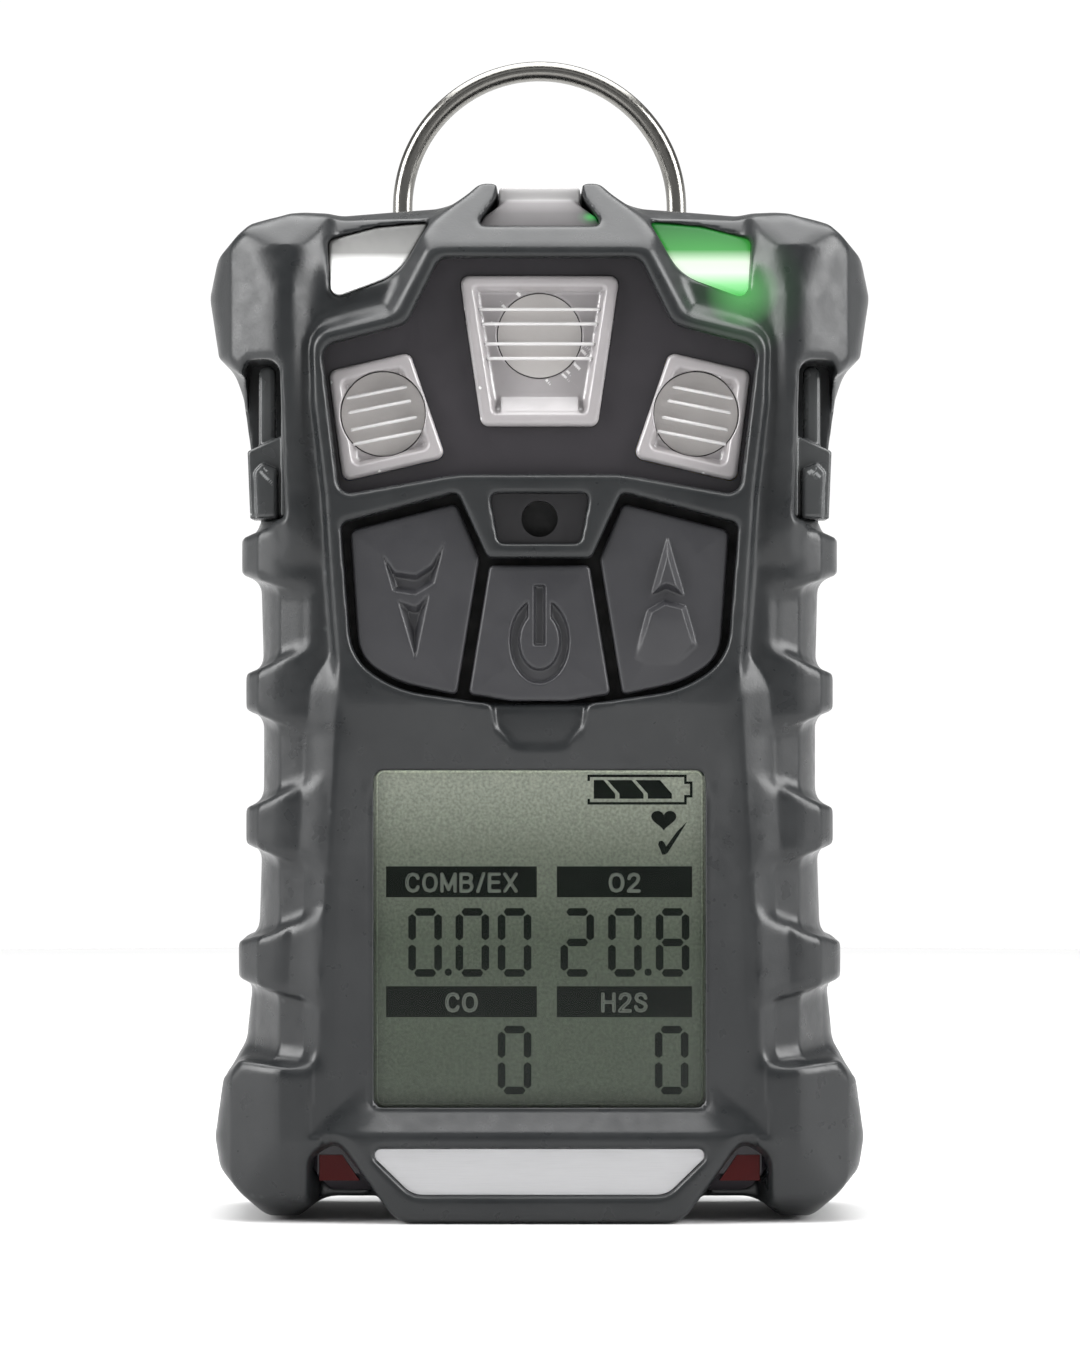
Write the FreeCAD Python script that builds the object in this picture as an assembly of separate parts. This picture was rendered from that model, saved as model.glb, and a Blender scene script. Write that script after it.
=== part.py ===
import FreeCAD, Part

import math
import os

# Four-gas portable detector, millimetres. X is the width, Y the depth (front face towards -Y),
# Z the height. The origin is at the middle of the footprint, on the surface it stands on.

V = FreeCAD.Vector

# ---- driving dimensions --------------------------------------------------------------------------
FRONT_Y = -16.5          # front of the corner bumpers and the hood
FACE_Y = -15.2           # rubber face round the keys and the display
BACK_Y = 16.5            # back of the rear boot's corner bumpers
HOUSING_FRONT_Y = -13.0  # front of the rigid front housing
HOUSING_BACK_Y = 13.0    # back of the rigid rear housing
REAR_FACE_Y = 15.2       # rubber face of the rear boot between its bumpers
WALL = 1.6               # wall of both housings
FACE_HALF = 24.5         # half width of the flat front face, where the ribs begin

RIB_HEIGHTS = (73.3, 58.3, 43.5, 28.6)      # middle of each side rib
RIB_HALF_WIDTHS = (33.0, 32.5, 32.5, 33.4)  # how far each rib stands out from the middle
RIB_HALF = 1.9                              # half the height of a rib's flat crest

SENSOR_R = 8.4
SENSOR_PLACES = {"center": (0.0, 97.5), "left": (-17.2, 88.9), "right": (17.2, 88.9)}
SENSOR_NAMES = {"center": "combustible_sensor", "left": "oxygen_sensor", "right": "toxic_sensor"}
SENSOR_NECK_Y = -10.6
SENSOR_BOARD_Y = 2.6
FILTER_R = 4.6
SIDE_WINDOW_TILT = 11.0  # degrees that the left and right sensor windows lean

SCREW_PLACES = ((-22.5, 10.5), (22.5, 10.5), (-22.5, 101.3), (22.5, 101.3))
BOSS_R = 2.8
SCREW_HEAD_Y = 10.8
CLIP_SCREW_HEIGHTS = (66.0, 94.0)

BOARD_FRONT_Y = -6.6
BOARD_THICK = 1.6
KEY_TRAVEL = 0.8
KEY_FACE_Y = -15.0
SWITCH_TOP_Y = -8.3
STEM_R = 1.6
STEM_PLACES = {"down": (-13.8, 68.0), "power": (0.0, 65.0), "up": (13.8, 68.0)}

PIVOT_Y = 19.9           # clip pin
PIVOT_Z = 84.0
PIN_R = 1.2
SHEET = 1.2              # stainless sheet of the clip
BRACKET_HALF = 10.6      # half width of the clip's bracket
JAW_HALF = 8.6           # half width of the clip's jaw
LOOP_WIRE_R = 1.15
LOOP_R = 15.9            # centreline radius of the wire loop
LOOP_Y = 23.0
LOOP_BAR_Z = 98.0
LOOP_ARC_Z = 114.4       # centre of the loop's round top

MOTOR_Y, MOTOR_Z, MOTOR_R = 6.0, 69.5, 3.0


# ---- tools ---------------------------------------------------------------------------------------
def along_y(u, v, t):
    return V(u, t, v)


def along_z(u, v, t):
    return V(u, v, t)


def along_x(u, v, t):
    return V(t, u, v)


def outline(points, level, place=along_y):
    """Closed wire through (u, v) corners at one level; a third number rounds that corner."""
    corners = []
    for i, point in enumerate(points):
        here = place(point[0], point[1], level)
        radius = point[2] if len(point) > 2 else 0.0
        if not radius:
            corners.append((here, None, here))
            continue
        before, after = points[i - 1], points[(i + 1) % len(points)]
        a = (place(before[0], before[1], level) - here).normalize()
        b = (place(after[0], after[1], level) - here).normalize()
        half = a.getAngle(b) / 2
        bisector = (a + b).normalize()
        middle = here + bisector * (radius / math.sin(half) - radius)
        reach = radius / math.tan(half)
        corners.append((here + a * reach, middle, here + b * reach))
    edges = []
    for i, (start, middle, end) in enumerate(corners):
        if middle is not None:
            edges.append(Part.Arc(start, middle, end).toShape())
        following = corners[(i + 1) % len(corners)][0]
        if (end - following).Length > 1e-6:
            edges.append(Part.makeLine(end, following))
    return Part.Wire(edges)


def plate(points, low, high, place=along_y):
    """Solid of one outline between two levels."""
    face = Part.Face(outline(points, low, place))
    return face.extrude(place(0, 0, high) - place(0, 0, low))


def frustum(points_a, level_a, points_b, level_b, place=along_y):
    """Solid that runs straight from one outline to another with as many corners."""
    wires = [outline(points_a, level_a, place), outline(points_b, level_b, place)]
    return Part.makeLoft(wires, True, True)


def both_sides(points):
    """The outline closed by the mirror image of its left half, walked back."""
    return list(points) + [(-p[0],) + tuple(p[1:]) for p in reversed(points) if p[0]]


def mirrored(shape):
    return shape.mirror(V(0, 0, 0), V(1, 0, 0))


def box(x0, x1, y0, y1, z0, z1):
    return Part.makeBox(x1 - x0, y1 - y0, z1 - z0, V(x0, y0, z0))


def rod_y(x, z, radius, y0, y1):
    return Part.makeCylinder(radius, y1 - y0, V(x, y0, z), V(0, 1, 0))


def rod_x(y, z, radius, x0, x1):
    return Part.makeCylinder(radius, x1 - x0, V(x0, y, z), V(1, 0, 0))


def ring_y(x, z, outer, inner, y0, y1):
    return rod_y(x, z, outer, y0, y1).cut(rod_y(x, z, inner, y0, y1))


def grown(points, distance):
    """Corners of a straight-sided outline moved outwards, square to its edges."""
    count = len(points)
    area = sum(
        points[i - 1][0] * points[i][1] - points[i][0] * points[i - 1][1] for i in range(count)
    )
    turn = 1.0 if area > 0 else -1.0
    lines = []
    for i in range(count):
        (x0, z0), (x1, z1) = points[i - 1][:2], points[i][:2]
        length = math.hypot(x1 - x0, z1 - z0)
        nx, nz = turn * (z1 - z0) / length, -turn * (x1 - x0) / length
        lines.append((nx, nz, nx * x0 + nz * z0 + distance))
    moved = []
    for i, point in enumerate(points):
        a0, b0, c0 = lines[i]
        a1, b1, c1 = lines[(i + 1) % count]
        det = a0 * b1 - a1 * b0
        corner = ((c0 * b1 - c1 * b0) / det, (a0 * c1 - a1 * c0) / det)
        moved.append(corner + tuple(max(r + distance, 0.1) for r in point[2:]))
    return moved


# ---- outlines seen from the front, X and Z -------------------------------------------------------
HOUSING = both_sides([(-22.0, 108.6, 2.0), (-28.3, 98.0, 3.0), (-28.3, 10.5, 3.0), (-23.0, 3.4, 2.0)])

HOUSING_HOOD = both_sides([(-11.2, 108.0), (-15.4, 98.0), (-15.4, 88.0)])

BOOT_CORE = both_sides([
    (-11.0, 112.4, 3.0), (-26.0, 110.9, 1.0), (-32.4, 104.0, 2.0), (-33.4, 92.6, 2.0),
    (-31.2, 76.7, 4.0), (-30.7, 60.0, 8.0), (-30.7, 48.0, 8.0), (-31.2, 33.0, 4.0),
    (-32.6, 21.0, 4.0), (-33.2, 14.0, 2.0), (-31.0, 6.0, 2.0), (-25.0, 2.5, 1.0),
])
TOP_CORNER = [
    (-22.0, 96.0, 1.0), (-23.5, 110.4, 1.0), (-27.6, 111.4, 1.5), (-32.0, 109.9, 2.0),
    (-35.6, 106.3, 2.5), (-36.6, 102.0, 3.0), (-35.5, 95.2, 0.8), (-32.4, 92.8, 1.5),
]
BOTTOM_CORNER = [
    (-24.5, 17.5, 1.0), (-24.8, 2.6, 1.0), (-26.4, 0.0, 1.0), (-30.0, 0.0, 1.5),
    (-35.4, 5.6, 2.5), (-36.0, 9.0, 2.5), (-35.0, 15.6, 1.2), (-33.0, 17.8, 1.0),
]
CHIN = both_sides([(-21.6, 10.2, 0.5), (-21.6, 8.6, 1.0), (-15.6, 0.0, 3.5)])
PEAK = [(-3.6, 110.0), (-4.6, 114.9, 0.6), (-6.4, 114.9, 0.8), (-11.5, 112.0, 3.0), (-14.0, 110.0)]

SENSOR_BAY = both_sides([
    (-11.0, 105.8, 1.5), (-14.6, 98.6, 2.0), (-23.9, 96.2, 1.6), (-21.9, 79.9, 1.4), (-9.0, 82.2, 12.0),
])
KEY_BAY = both_sides([
    (-5.7, 73.0, 0.8), (-9.0, 80.2, 0.8), (-21.8, 76.8, 0.8), (-20.6, 61.8, 3.0), (-15.5, 58.5, 4.0),
    (-6.0, 57.1, 14.0),
])
HORN_PLATE = both_sides([(-5.5, 80.1, 0.7), (-4.5, 74.6, 0.7)])
HORN_HOLE = (0.0, 77.3, 2.0)

KEY_DOWN = [
    (-20.8, 76.0, 0.6), (-9.1, 79.0, 0.6), (-6.6, 73.0, 0.6), (-9.1, 57.9, 0.6), (-15.8, 59.4, 4.0),
    (-19.8, 62.0, 3.0),
]
KEY_POWER = both_sides([(-5.5, 72.2, 0.6), (-7.8, 58.0, 0.6), (-3.0, 57.3, 5.0)])

DISPLAY = both_sides([(-18.6, 49.6, 1.2), (-18.6, 12.3, 1.2)])
NAMEPLATE = both_sides([(-19.3, 8.3, 0.8), (-14.0, 3.1, 3.0)])
BOTTOM_NOTCH = [
    (-25.0, 2.0), (-24.4, 7.6, 0.9), (-22.6, 8.9, 0.6), (-16.6, 0.4), (-16.6, -1.0), (-25.0, -1.0),
]

BEACON = [
    (-23.4, 108.4, 0.6), (-18.0, 109.8, 6.0), (-12.0, 110.1, 0.4), (-15.2, 104.6, 5.0), (-22.9, 101.2, 0.9),
]

CENTER_WINDOW = both_sides([(-8.9, 104.1, 1.0), (-6.45, 87.4, 1.0)])
CENTER_POCKET = both_sides([(-7.4, 103.0, 0.5), (-5.1, 88.8, 0.5)])
LEFT_WINDOW = [(-23.3, 93.6, 1.0), (-14.2, 95.7, 1.0), (-10.2, 84.0, 1.0), (-21.7, 81.3, 1.0)]
LEFT_POCKET = [(-22.0, 92.6, 0.8), (-14.9, 94.2, 0.8), (-11.8, 84.9, 0.8), (-20.5, 82.9, 0.8)]

BOTTOM_BEACON = [(-24.2, 4.6), (-24.2, 7.4), (-21.7, 7.4), (-19.8, 4.6)]
REAR_RECESS = both_sides([(-15.0, 101.0, 2.0), (-15.0, 44.0, 2.0)])
REAR_LABEL = both_sides([(-20.0, 40.0, 2.0), (-20.0, 14.0, 2.0)])


# ---- rubber boot ---------------------------------------------------------------------------------
def section(points, inset=0.0):
    """Solid of a plan section, given for its left front quarter, along the whole height."""
    front = list(points) + [(-x, y) for x, y in reversed(points)]
    back = [(-x, -y) for x, y in points] + [(x, -y) for x, y in reversed(points)]
    return plate(grown(front + back, -inset), -5.0, 120.0, along_z)


CORE_SECTION = [(-33.6, -3.0), (-29.4, -10.4), (-26.0, -13.2), (-FACE_HALF, FACE_Y)]
RIB_SECTION = [(-33.6, -7.0), (-31.0, -12.2), (-FACE_HALF, FACE_Y)]
HOUSING_SECTION = [(-28.4, -9.0), (-24.4, HOUSING_FRONT_Y)]
CORNER_SECTION = [(-37.0, -7.0), (-34.2, -12.4), (-29.0, -16.0), (-26.0, FRONT_Y)]

# Side views, Y and Z.
SIDE_PROFILE = [
    (-10.0, 0.0), (9.0, 0.0), (14.5, 3.0), (BACK_Y, 8.0), (BACK_Y, 100.0), (13.5, 108.5), (8.0, 113.0),
    (-4.0, 113.0), (-9.5, 110.5), (-15.6, 101.0), (FRONT_Y, 98.0), (FRONT_Y, 10.0), (-14.5, 4.0),
]
HOUSING_PROFILE = [
    (-10.6, 3.4), (11.2, 3.4), (HOUSING_BACK_Y, 7.0), (HOUSING_BACK_Y, 100.0), (8.5, 108.6),
    (-8.2, 108.6), (HOUSING_FRONT_Y, 100.6), (HOUSING_FRONT_Y, 5.4),
]
HOOD_PROFILE = [
    (0.0, 97.0), (FRONT_Y, 97.0), (FRONT_Y, 106.4), (-15.4, 107.8), (-9.0, 112.6), (0.0, 112.9),
]
TOP_WINDOW_PROFILE = [(-10.9, 109.8), (-7.0, 112.9), (-7.0, 107.2), (-9.2, 107.2)]


def side_profile(inset=0.0):
    return plate(grown(SIDE_PROFILE, -inset), -40.0, 40.0, along_x)


def housing_block(inset=0.0):
    """The closed shape of both housings together, or of the room inside their walls."""
    front_view = plate(grown(HOUSING, -inset), HOUSING_FRONT_Y + inset, HOUSING_BACK_Y - inset)
    side_view = plate(grown(HOUSING_PROFILE, -inset), -40.0, 40.0, along_x)
    body = front_view.common(side_view).common(section(HOUSING_SECTION, inset))
    return body.fuse(plate(grown(HOUSING_HOOD, -inset), HOUSING_FRONT_Y + inset, -5.0))


def rib(middle, half_width):
    """One side rib, which widens towards the front face."""
    return plate([
        (-FACE_HALF + 0.5, middle - RIB_HALF - 1.8), (-31.0, middle - RIB_HALF - 0.9),
        (-half_width, middle - RIB_HALF, 0.5), (-half_width, middle + RIB_HALF, 0.5),
        (-31.0, middle + RIB_HALF + 0.9), (-FACE_HALF + 0.5, middle + RIB_HALF + 2.6),
    ], FRONT_Y, BACK_Y)


def boot_blank():
    """Both halves of the boot in one piece, before the cavity and the openings."""
    core = plate(BOOT_CORE, FRONT_Y, BACK_Y).common(section(CORE_SECTION))
    ribs = [rib(z, w) for z, w in zip(RIB_HEIGHTS, RIB_HALF_WIDTHS)]
    ribs = ribs[0].fuse(ribs[1:]).common(section(RIB_SECTION))
    corners = plate(TOP_CORNER, FRONT_Y, BACK_Y).fuse(plate(BOTTOM_CORNER, FRONT_Y, BACK_Y))
    corners = corners.common(section(CORNER_SECTION))
    one_side = ribs.fuse(corners)
    hood = plate(grown(SENSOR_BAY, 2.4), FRONT_Y, 0.0).common(plate(HOOD_PROFILE, -20.0, 20.0, along_x))
    lower_rim = plate(grown(SENSOR_BAY, 2.4), FRONT_Y, 0.0).common(side_profile())
    blank = core.fuse([one_side, mirrored(one_side)]).common(side_profile()).fuse([hood, lower_rim])
    peak = plate(PEAK, -9.0, 7.0)
    chin = frustum(grown(CHIN, -0.8), FACE_Y, CHIN, FACE_Y + 0.8).fuse(plate(CHIN, FACE_Y + 0.8, -6.0))
    return blank.fuse([peak, mirrored(peak), chin])


def side_catch_pocket():
    """The opening in the boot's front half that shows the side catch."""
    return plate([
        (-27.0, 77.4), (-36.0, 77.4), (-36.0, 93.4), (-30.5, 93.4, 1.5), (-27.4, 92.4, 1.0),
    ], FRONT_Y, -3.0)


def make_front_boot(blank):
    boot = blank.common(box(-40, 40, FRONT_Y - 1, 0.0, -1, 120))
    left_notch = plate(BOTTOM_NOTCH, FRONT_Y - 1, -9.0)
    openings = [
        housing_block(),
        plate(SENSOR_BAY, FRONT_Y - 1, HOUSING_FRONT_Y),
        plate(KEY_BAY, FRONT_Y - 1, HOUSING_FRONT_Y),
        plate(HORN_PLATE, FRONT_Y - 1, HOUSING_FRONT_Y),
        plate(DISPLAY, FRONT_Y - 1, HOUSING_FRONT_Y),
        plate(grown(DISPLAY, 0.85), -13.6, HOUSING_FRONT_Y),
        plate(NAMEPLATE, FRONT_Y - 1, FACE_Y + 1.0),
        left_notch, mirrored(left_notch),
        top_window(0.05),
        side_catch_pocket(), mirrored(side_catch_pocket()),
        side_catch_seat(), mirrored(side_catch_seat()),
        beacon_prism(0.0), mirrored(beacon_prism(0.0)),
    ]
    return boot.cut(openings)


def make_rear_boot(blank):
    boot = blank.common(box(-40, 40, 0.0, BACK_Y + 1, -1, 120))
    openings = [
        housing_block(),
        plate(REAR_RECESS, 10.0, BACK_Y + 1),
        plate(REAR_LABEL, REAR_FACE_Y - 0.5, BACK_Y + 1),
        top_window(0.05),
        box(-9.0, 9.0, 3.0, 10.5, -1.0, 4.0),
    ]
    openings += [rod_y(x, z, 3.2, 10.0, BACK_Y + 1) for x, z in SCREW_PLACES]
    return boot.cut(openings)


# ---- housings ------------------------------------------------------------------------------------
def gasket_ring():
    ring = plate(grown(HOUSING, -0.4), -0.6, 0.6).cut(plate(grown(HOUSING, -1.2), -0.6, 0.6))
    return ring.cut(top_window(0.05))


def side_catch_seat():
    return box(-28.4, -26.6, -11.4, -3.0, 77.6, 93.2)


def make_front_housing():
    posts = [rod_y(x, z, BOSS_R, HOUSING_FRONT_Y + 0.5, 0.0) for x, z in SCREW_PLACES]
    body = housing_block().cut(housing_block(WALL))
    body = body.fuse([post.common(housing_block()) for post in posts])
    body = body.common(box(-40, 40, -20, 0.0, 0, 120))
    low, high = HOUSING_FRONT_Y - 1, HOUSING_FRONT_Y + WALL + 0.1
    cuts = [
        gasket_ring(),
        plate(grown(DISPLAY, 0.85), low, high),
        plate(KEY_BAY, low, high),
        plate(HORN_PLATE, low, high),
        plate(CENTER_WINDOW, low, high),
        plate(LEFT_WINDOW, low, high),
        mirrored(plate(LEFT_WINDOW, low, high)),
        beacon_lens(0.08), mirrored(beacon_lens(0.08)),
        side_catch_seat(), mirrored(side_catch_seat()),
        top_window(0.05),
        bottom_beacon(0.05), mirrored(bottom_beacon(0.05)),
    ]
    cuts += [rod_y(x, z, 1.6, -6.0, 1.0) for x, z in SCREW_PLACES]
    return body.cut(cuts)


def make_rear_housing():
    room_back = HOUSING_BACK_Y - WALL + 0.1
    bosses = [rod_y(x, z, BOSS_R + 0.4, 0.0, room_back) for x, z in SCREW_PLACES]
    bosses += [rod_y(0.0, z, 3.0, 9.0, room_back) for z in CLIP_SCREW_HEIGHTS]
    bosses.append(box(-26.9, 26.9, 1.0, room_back, 60.8, 62.0))
    body = housing_block().cut(housing_block(WALL))
    body = body.fuse([boss.common(housing_block()) for boss in bosses])
    body = body.common(box(-40, 40, 0.0, 20, 0, 120))
    cuts = [gasket_ring(), top_window(0.05), box(-8.0, 8.0, 3.5, 10.0, 2.0, 6.0)]
    cuts += [rod_y(x, z, 1.35, -1.0, HOUSING_BACK_Y + 1) for x, z in SCREW_PLACES]
    cuts += [rod_y(x, z, 2.5, SCREW_HEAD_Y, HOUSING_BACK_Y + 1) for x, z in SCREW_PLACES]
    cuts += [rod_y(0.0, z, 1.25, 9.5, HOUSING_BACK_Y + 1) for z in CLIP_SCREW_HEIGHTS]
    return body.cut(cuts)


# ---- windows and lenses --------------------------------------------------------------------------
def beacon_prism(growth):
    return plate(grown(BEACON, growth), FRONT_Y - 2, -6.0 + growth)


def beacon_lens(growth=0.0):
    """Left shoulder light: follows the shoulder outside and the housing's wall inside."""
    lens = beacon_prism(growth - 0.08).common(side_profile(0.5 - growth))
    return lens.cut(housing_block(WALL + growth))


def top_window(growth=0.0):
    """Clear block between the two peaks, with a sloping front."""
    block = box(-4.6 - growth, 4.6 + growth, -7.0, 5.0 + growth, 107.2 - growth, 114.3 + growth)
    front = plate(grown(TOP_WINDOW_PROFILE, growth), -6.6 - growth, 6.6 + growth, along_x)
    return block.fuse(front)


def bottom_beacon(growth=0.0):
    return plate(grown(BOTTOM_BEACON, growth), HOUSING_FRONT_Y, HOUSING_FRONT_Y + WALL + growth)


def slat(x, z, width, height, tilt):
    """One louvre bar in front of a sensor, centred at (x, z)."""
    bar = box(x - width / 2, x + width / 2, -13.5, -12.6, z - height / 2, z + height / 2)
    return bar.rotate(V(x, 0, z), V(0, 1, 0), -tilt)


def sensor_window(frame, pocket, centre, bar_heights, tilt):
    """Clear guard over one sensor: a frame with a pocket, a round gas port and two slats."""
    x, z = centre
    inset = grown(frame, -0.05)
    bevel = frustum(grown(frame, -0.35), -14.0, inset, -13.6)
    body = bevel.fuse(plate(inset, -13.6, -11.4))
    room = plate(pocket, -15.0, -12.2)
    body = body.cut([room, rod_y(x, z, FILTER_R + 0.1, -13.0, -11.0)])
    turn = math.radians(tilt)
    bars = [slat(x - h * math.sin(turn), z + h * math.cos(turn), 17.0, 1.45, tilt) for h in bar_heights]
    bars = [bar.common(plate(grown(pocket, 0.1), -15.0, -12.2)) for bar in bars]
    return body.fuse(bars)


def make_sensor_windows():
    center = sensor_window(CENTER_WINDOW, CENTER_POCKET, SENSOR_PLACES["center"], (1.8, -1.8), 0.0)
    sill = plate([(-13.6, 88.7), (-12.1, 91.4), (-12.1, 88.7)], -5.2, 5.2, along_x)
    center = center.fuse(sill.common(plate(CENTER_POCKET, -15.0, -12.0)))
    place = SENSOR_PLACES["left"]
    left = sensor_window(LEFT_WINDOW, LEFT_POCKET, place, (1.6, -1.9), SIDE_WINDOW_TILT)
    return {
        "sensor_window_center": center,
        "sensor_window_left": left,
        "sensor_window_right": mirrored(left),
    }


def make_display():
    glass = frustum(grown(DISPLAY, 0.5), -13.6, grown(DISPLAY, 0.8), -13.3)
    glass = glass.fuse(plate(grown(DISPLAY, 0.8), -13.3, -12.1))
    view = both_sides([(-17.4, 48.4), (-17.4, 13.5)])
    gasket = plate(grown(DISPLAY, 0.6), -12.1, -11.7).cut(plate(view, -13.0, -11.0))
    return {
        "display_window": glass,
        "display_gasket": gasket,
        "lcd_panel": plate(grown(DISPLAY, 0.6), -11.7, -9.9),
        "lcd_backlight": plate(grown(DISPLAY, 0.2), -9.9, BOARD_FRONT_Y),
    }


def make_side_catch():
    """Clear latch block in the flank, with a deep slot above its step and a raised stop below."""
    back = box(-28.35, -26.65, -11.35, -3.05, 77.65, 93.15)
    step = box(-31.1, -28.3, -9.6, -3.05, 77.65, 84.6)
    lead = plate([(-28.3, 84.6), (-31.1, 84.6), (-31.6, 85.8), (-28.3, 87.2)], -8.6, -3.05)
    stop = plate([(-29.0, 77.65), (-29.0, 82.2, 0.6), (-31.3, 82.9, 0.5), (-31.6, 77.65)], -11.2, -9.6)
    fin = box(-29.6, -28.3, -8.4, -5.6, 86.5, 92.2)
    return back.fuse([step, lead, stop, fin])


# ---- keys and horn -------------------------------------------------------------------------------
def key(shape, stem_x, stem_z):
    """Key cap with a barbed stem through the membrane to its switch."""
    cap = frustum(grown(shape, -0.35), KEY_FACE_Y, shape, KEY_FACE_Y + 0.35)
    cap = cap.fuse(plate(shape, KEY_FACE_Y + 0.35, -12.35))
    stem = rod_y(stem_x, stem_z, STEM_R, -12.4, SWITCH_TOP_Y - KEY_TRAVEL - 0.05)
    barb = rod_y(stem_x, stem_z, 2.1, -10.4, SWITCH_TOP_Y - KEY_TRAVEL - 0.05)
    return cap.fuse([stem, barb])


def carved_key_down():
    arrow = [(-16.4, 74.4), (-13.7, 62.3), (-11.0, 74.4), (-13.7, 70.9)]
    return key(KEY_DOWN, *STEM_PLACES["down"]).cut(plate(arrow, KEY_FACE_Y - 1, KEY_FACE_Y + 0.4))


def raised_key_up():
    arrow = [(13.7, 75.2), (16.5, 63.4), (13.7, 66.8), (10.9, 63.4)]
    plain = mirrored(key(KEY_DOWN, *STEM_PLACES["down"]))
    return plain.fuse(plate(arrow, KEY_FACE_Y - 0.3, KEY_FACE_Y + 0.5))


def carved_key_power():
    body = key(KEY_POWER, *STEM_PLACES["power"])
    bar = box(-0.6, 0.6, KEY_FACE_Y - 1, KEY_FACE_Y + 0.4, 64.6, 70.4)
    ring = ring_y(0.0, 64.6, 2.9, 1.9, KEY_FACE_Y - 1, KEY_FACE_Y + 0.4)
    ring = ring.cut(box(-1.2, 1.2, -20, 0, 64.6, 70.0))
    return body.cut([bar, ring])


def make_keys():
    membrane = plate(grown(KEY_BAY, 0.8), -11.3, -10.5)
    membrane = membrane.cut([rod_y(x, z, STEM_R + 0.15, -12, -10) for x, z in STEM_PLACES.values()])
    switches = []
    for x, z in STEM_PLACES.values():
        body = box(x - 3, x + 3, -7.8, BOARD_FRONT_Y, z - 3, z + 3)
        switches.append(body.fuse(rod_y(x, z, 1.2, SWITCH_TOP_Y, -7.7)))
    return {
        "button_down": carved_key_down(),
        "button_power": carved_key_power(),
        "button_up": raised_key_up(),
        "keypad_membrane": membrane,
        "key_switches": Part.makeCompound(switches),
    }


def make_horn():
    x, z, radius = HORN_HOLE
    insert = plate(grown(HORN_PLATE, -0.05), -14.2, -11.4)
    insert = insert.cut([rod_y(x, z, radius, -15.0, -11.0), rod_y(x, z, 2.5, -12.1, -11.0)])
    return {
        "horn_plate": insert,
        "horn_membrane": rod_y(x, z, 2.45, -12.1, -11.6),
        "horn_gasket": ring_y(x, z, 3.2, 2.2, -11.4, -10.4),
        "horn_buzzer": rod_y(x, z, 5.2, -10.4, BOARD_FRONT_Y),
    }


# ---- sensors -------------------------------------------------------------------------------------
def make_sensors():
    parts, gaskets = {}, []
    for side, (x, z) in SENSOR_PLACES.items():
        can = rod_y(x, z, SENSOR_R, -9.2, SENSOR_BOARD_Y)
        neck = ring_y(x, z, 6.3, 4.2, SENSOR_NECK_Y, -9.2)
        parts[SENSOR_NAMES[side]] = can.fuse(neck)
        parts["sensor_filter_" + side] = rod_y(x, z, FILTER_R, -12.1, -11.5)
        gaskets.append(ring_y(x, z, 6.4, 4.0, -11.4, SENSOR_NECK_Y))
    parts["sensor_gaskets"] = Part.makeCompound(gaskets)
    room = housing_block(WALL + 0.15)
    posts = [rod_y(x, z, 3.5, -6, 6) for x, z in SCREW_PLACES]
    bores = [rod_y(x, z, SENSOR_R + 0.1, -6, 0) for x, z in SENSOR_PLACES.values()]
    carrier = box(-30, 30, -4.0, -1.0, 80.2, 110).common(room)
    parts["sensor_carrier"] = carrier.cut(bores + posts + [box(-5.6, 5.6, -6, 0, 79, 84)])
    board = box(-30, 30, SENSOR_BOARD_Y, SENSOR_BOARD_Y + BOARD_THICK, 79.8, 110).common(room)
    parts["sensor_board"] = board.cut(posts)
    flat = ribbon([(-4.85, 75.0), (-4.85, 81.0), (2.45, 81.0), (2.45, 84.5)], 0.3)
    parts["sensor_ribbon"] = plate(flat, -5.0, 5.0, along_x)
    return parts


# ---- electronics and battery ---------------------------------------------------------------------
def make_electronics():
    back = BOARD_FRONT_Y + BOARD_THICK
    board_shape = both_sides([
        (-6.0, 82.8), (-6.0, 79.6), (-25.0, 79.6), (-25.0, 14.5), (-18.6, 14.5), (-18.6, 6.4),
    ])
    chips = [
        box(-14, -2, back, back + 1.4, 60, 72), box(4, 12, back, back + 1.2, 62, 70),
        box(-20, -12, back, back + 1.0, 40, 48), box(6, 20, back, back + 1.8, 44, 54),
    ]
    leds = [box(x - 1.5, x + 1.5, -5.5, -4.0, 100.9, 103.9) for x in (-18.0, 18.0)]
    leds += [box(x - 1.2, x + 1.2, BOARD_FRONT_Y - 1.2, BOARD_FRONT_Y, 6.8, 9.2) for x in (-16.6, 16.6)]
    status = [box(13.0, 15.2, -5.2, -4.0, 101.4, 103.6), box(9.9, 12.1, -5.2, -4.0, 103.0, 105.2)]
    infrared = [rod_y(x, 105.4, 0.9, SENSOR_BOARD_Y + BOARD_THICK, 5.6) for x in (-1.6, 1.6)]
    pins = [Part.makeCylinder(0.9, 1.0, V(x, 6.75, 1.8), V(0, 0, 1)) for x in (-5.0, 0.0, 5.0)]
    return {
        "main_board": plate(board_shape, BOARD_FRONT_Y, back),
        "board_chips": Part.makeCompound(chips),
        "alarm_leds": Part.makeCompound(leds),
        "status_leds": Part.makeCompound(status),
        "infrared_leds": Part.makeCompound(infrared),
        "battery_pack": plate(both_sides([(-18.4, 60.2, 1.5), (-18.4, 7.6, 1.5)]), 1.6, 11.3),
        "charge_block": box(-7.95, 7.95, 3.55, 9.95, 2.8, 5.9),
        "charge_contacts": Part.makeCompound(pins),
    }


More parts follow.
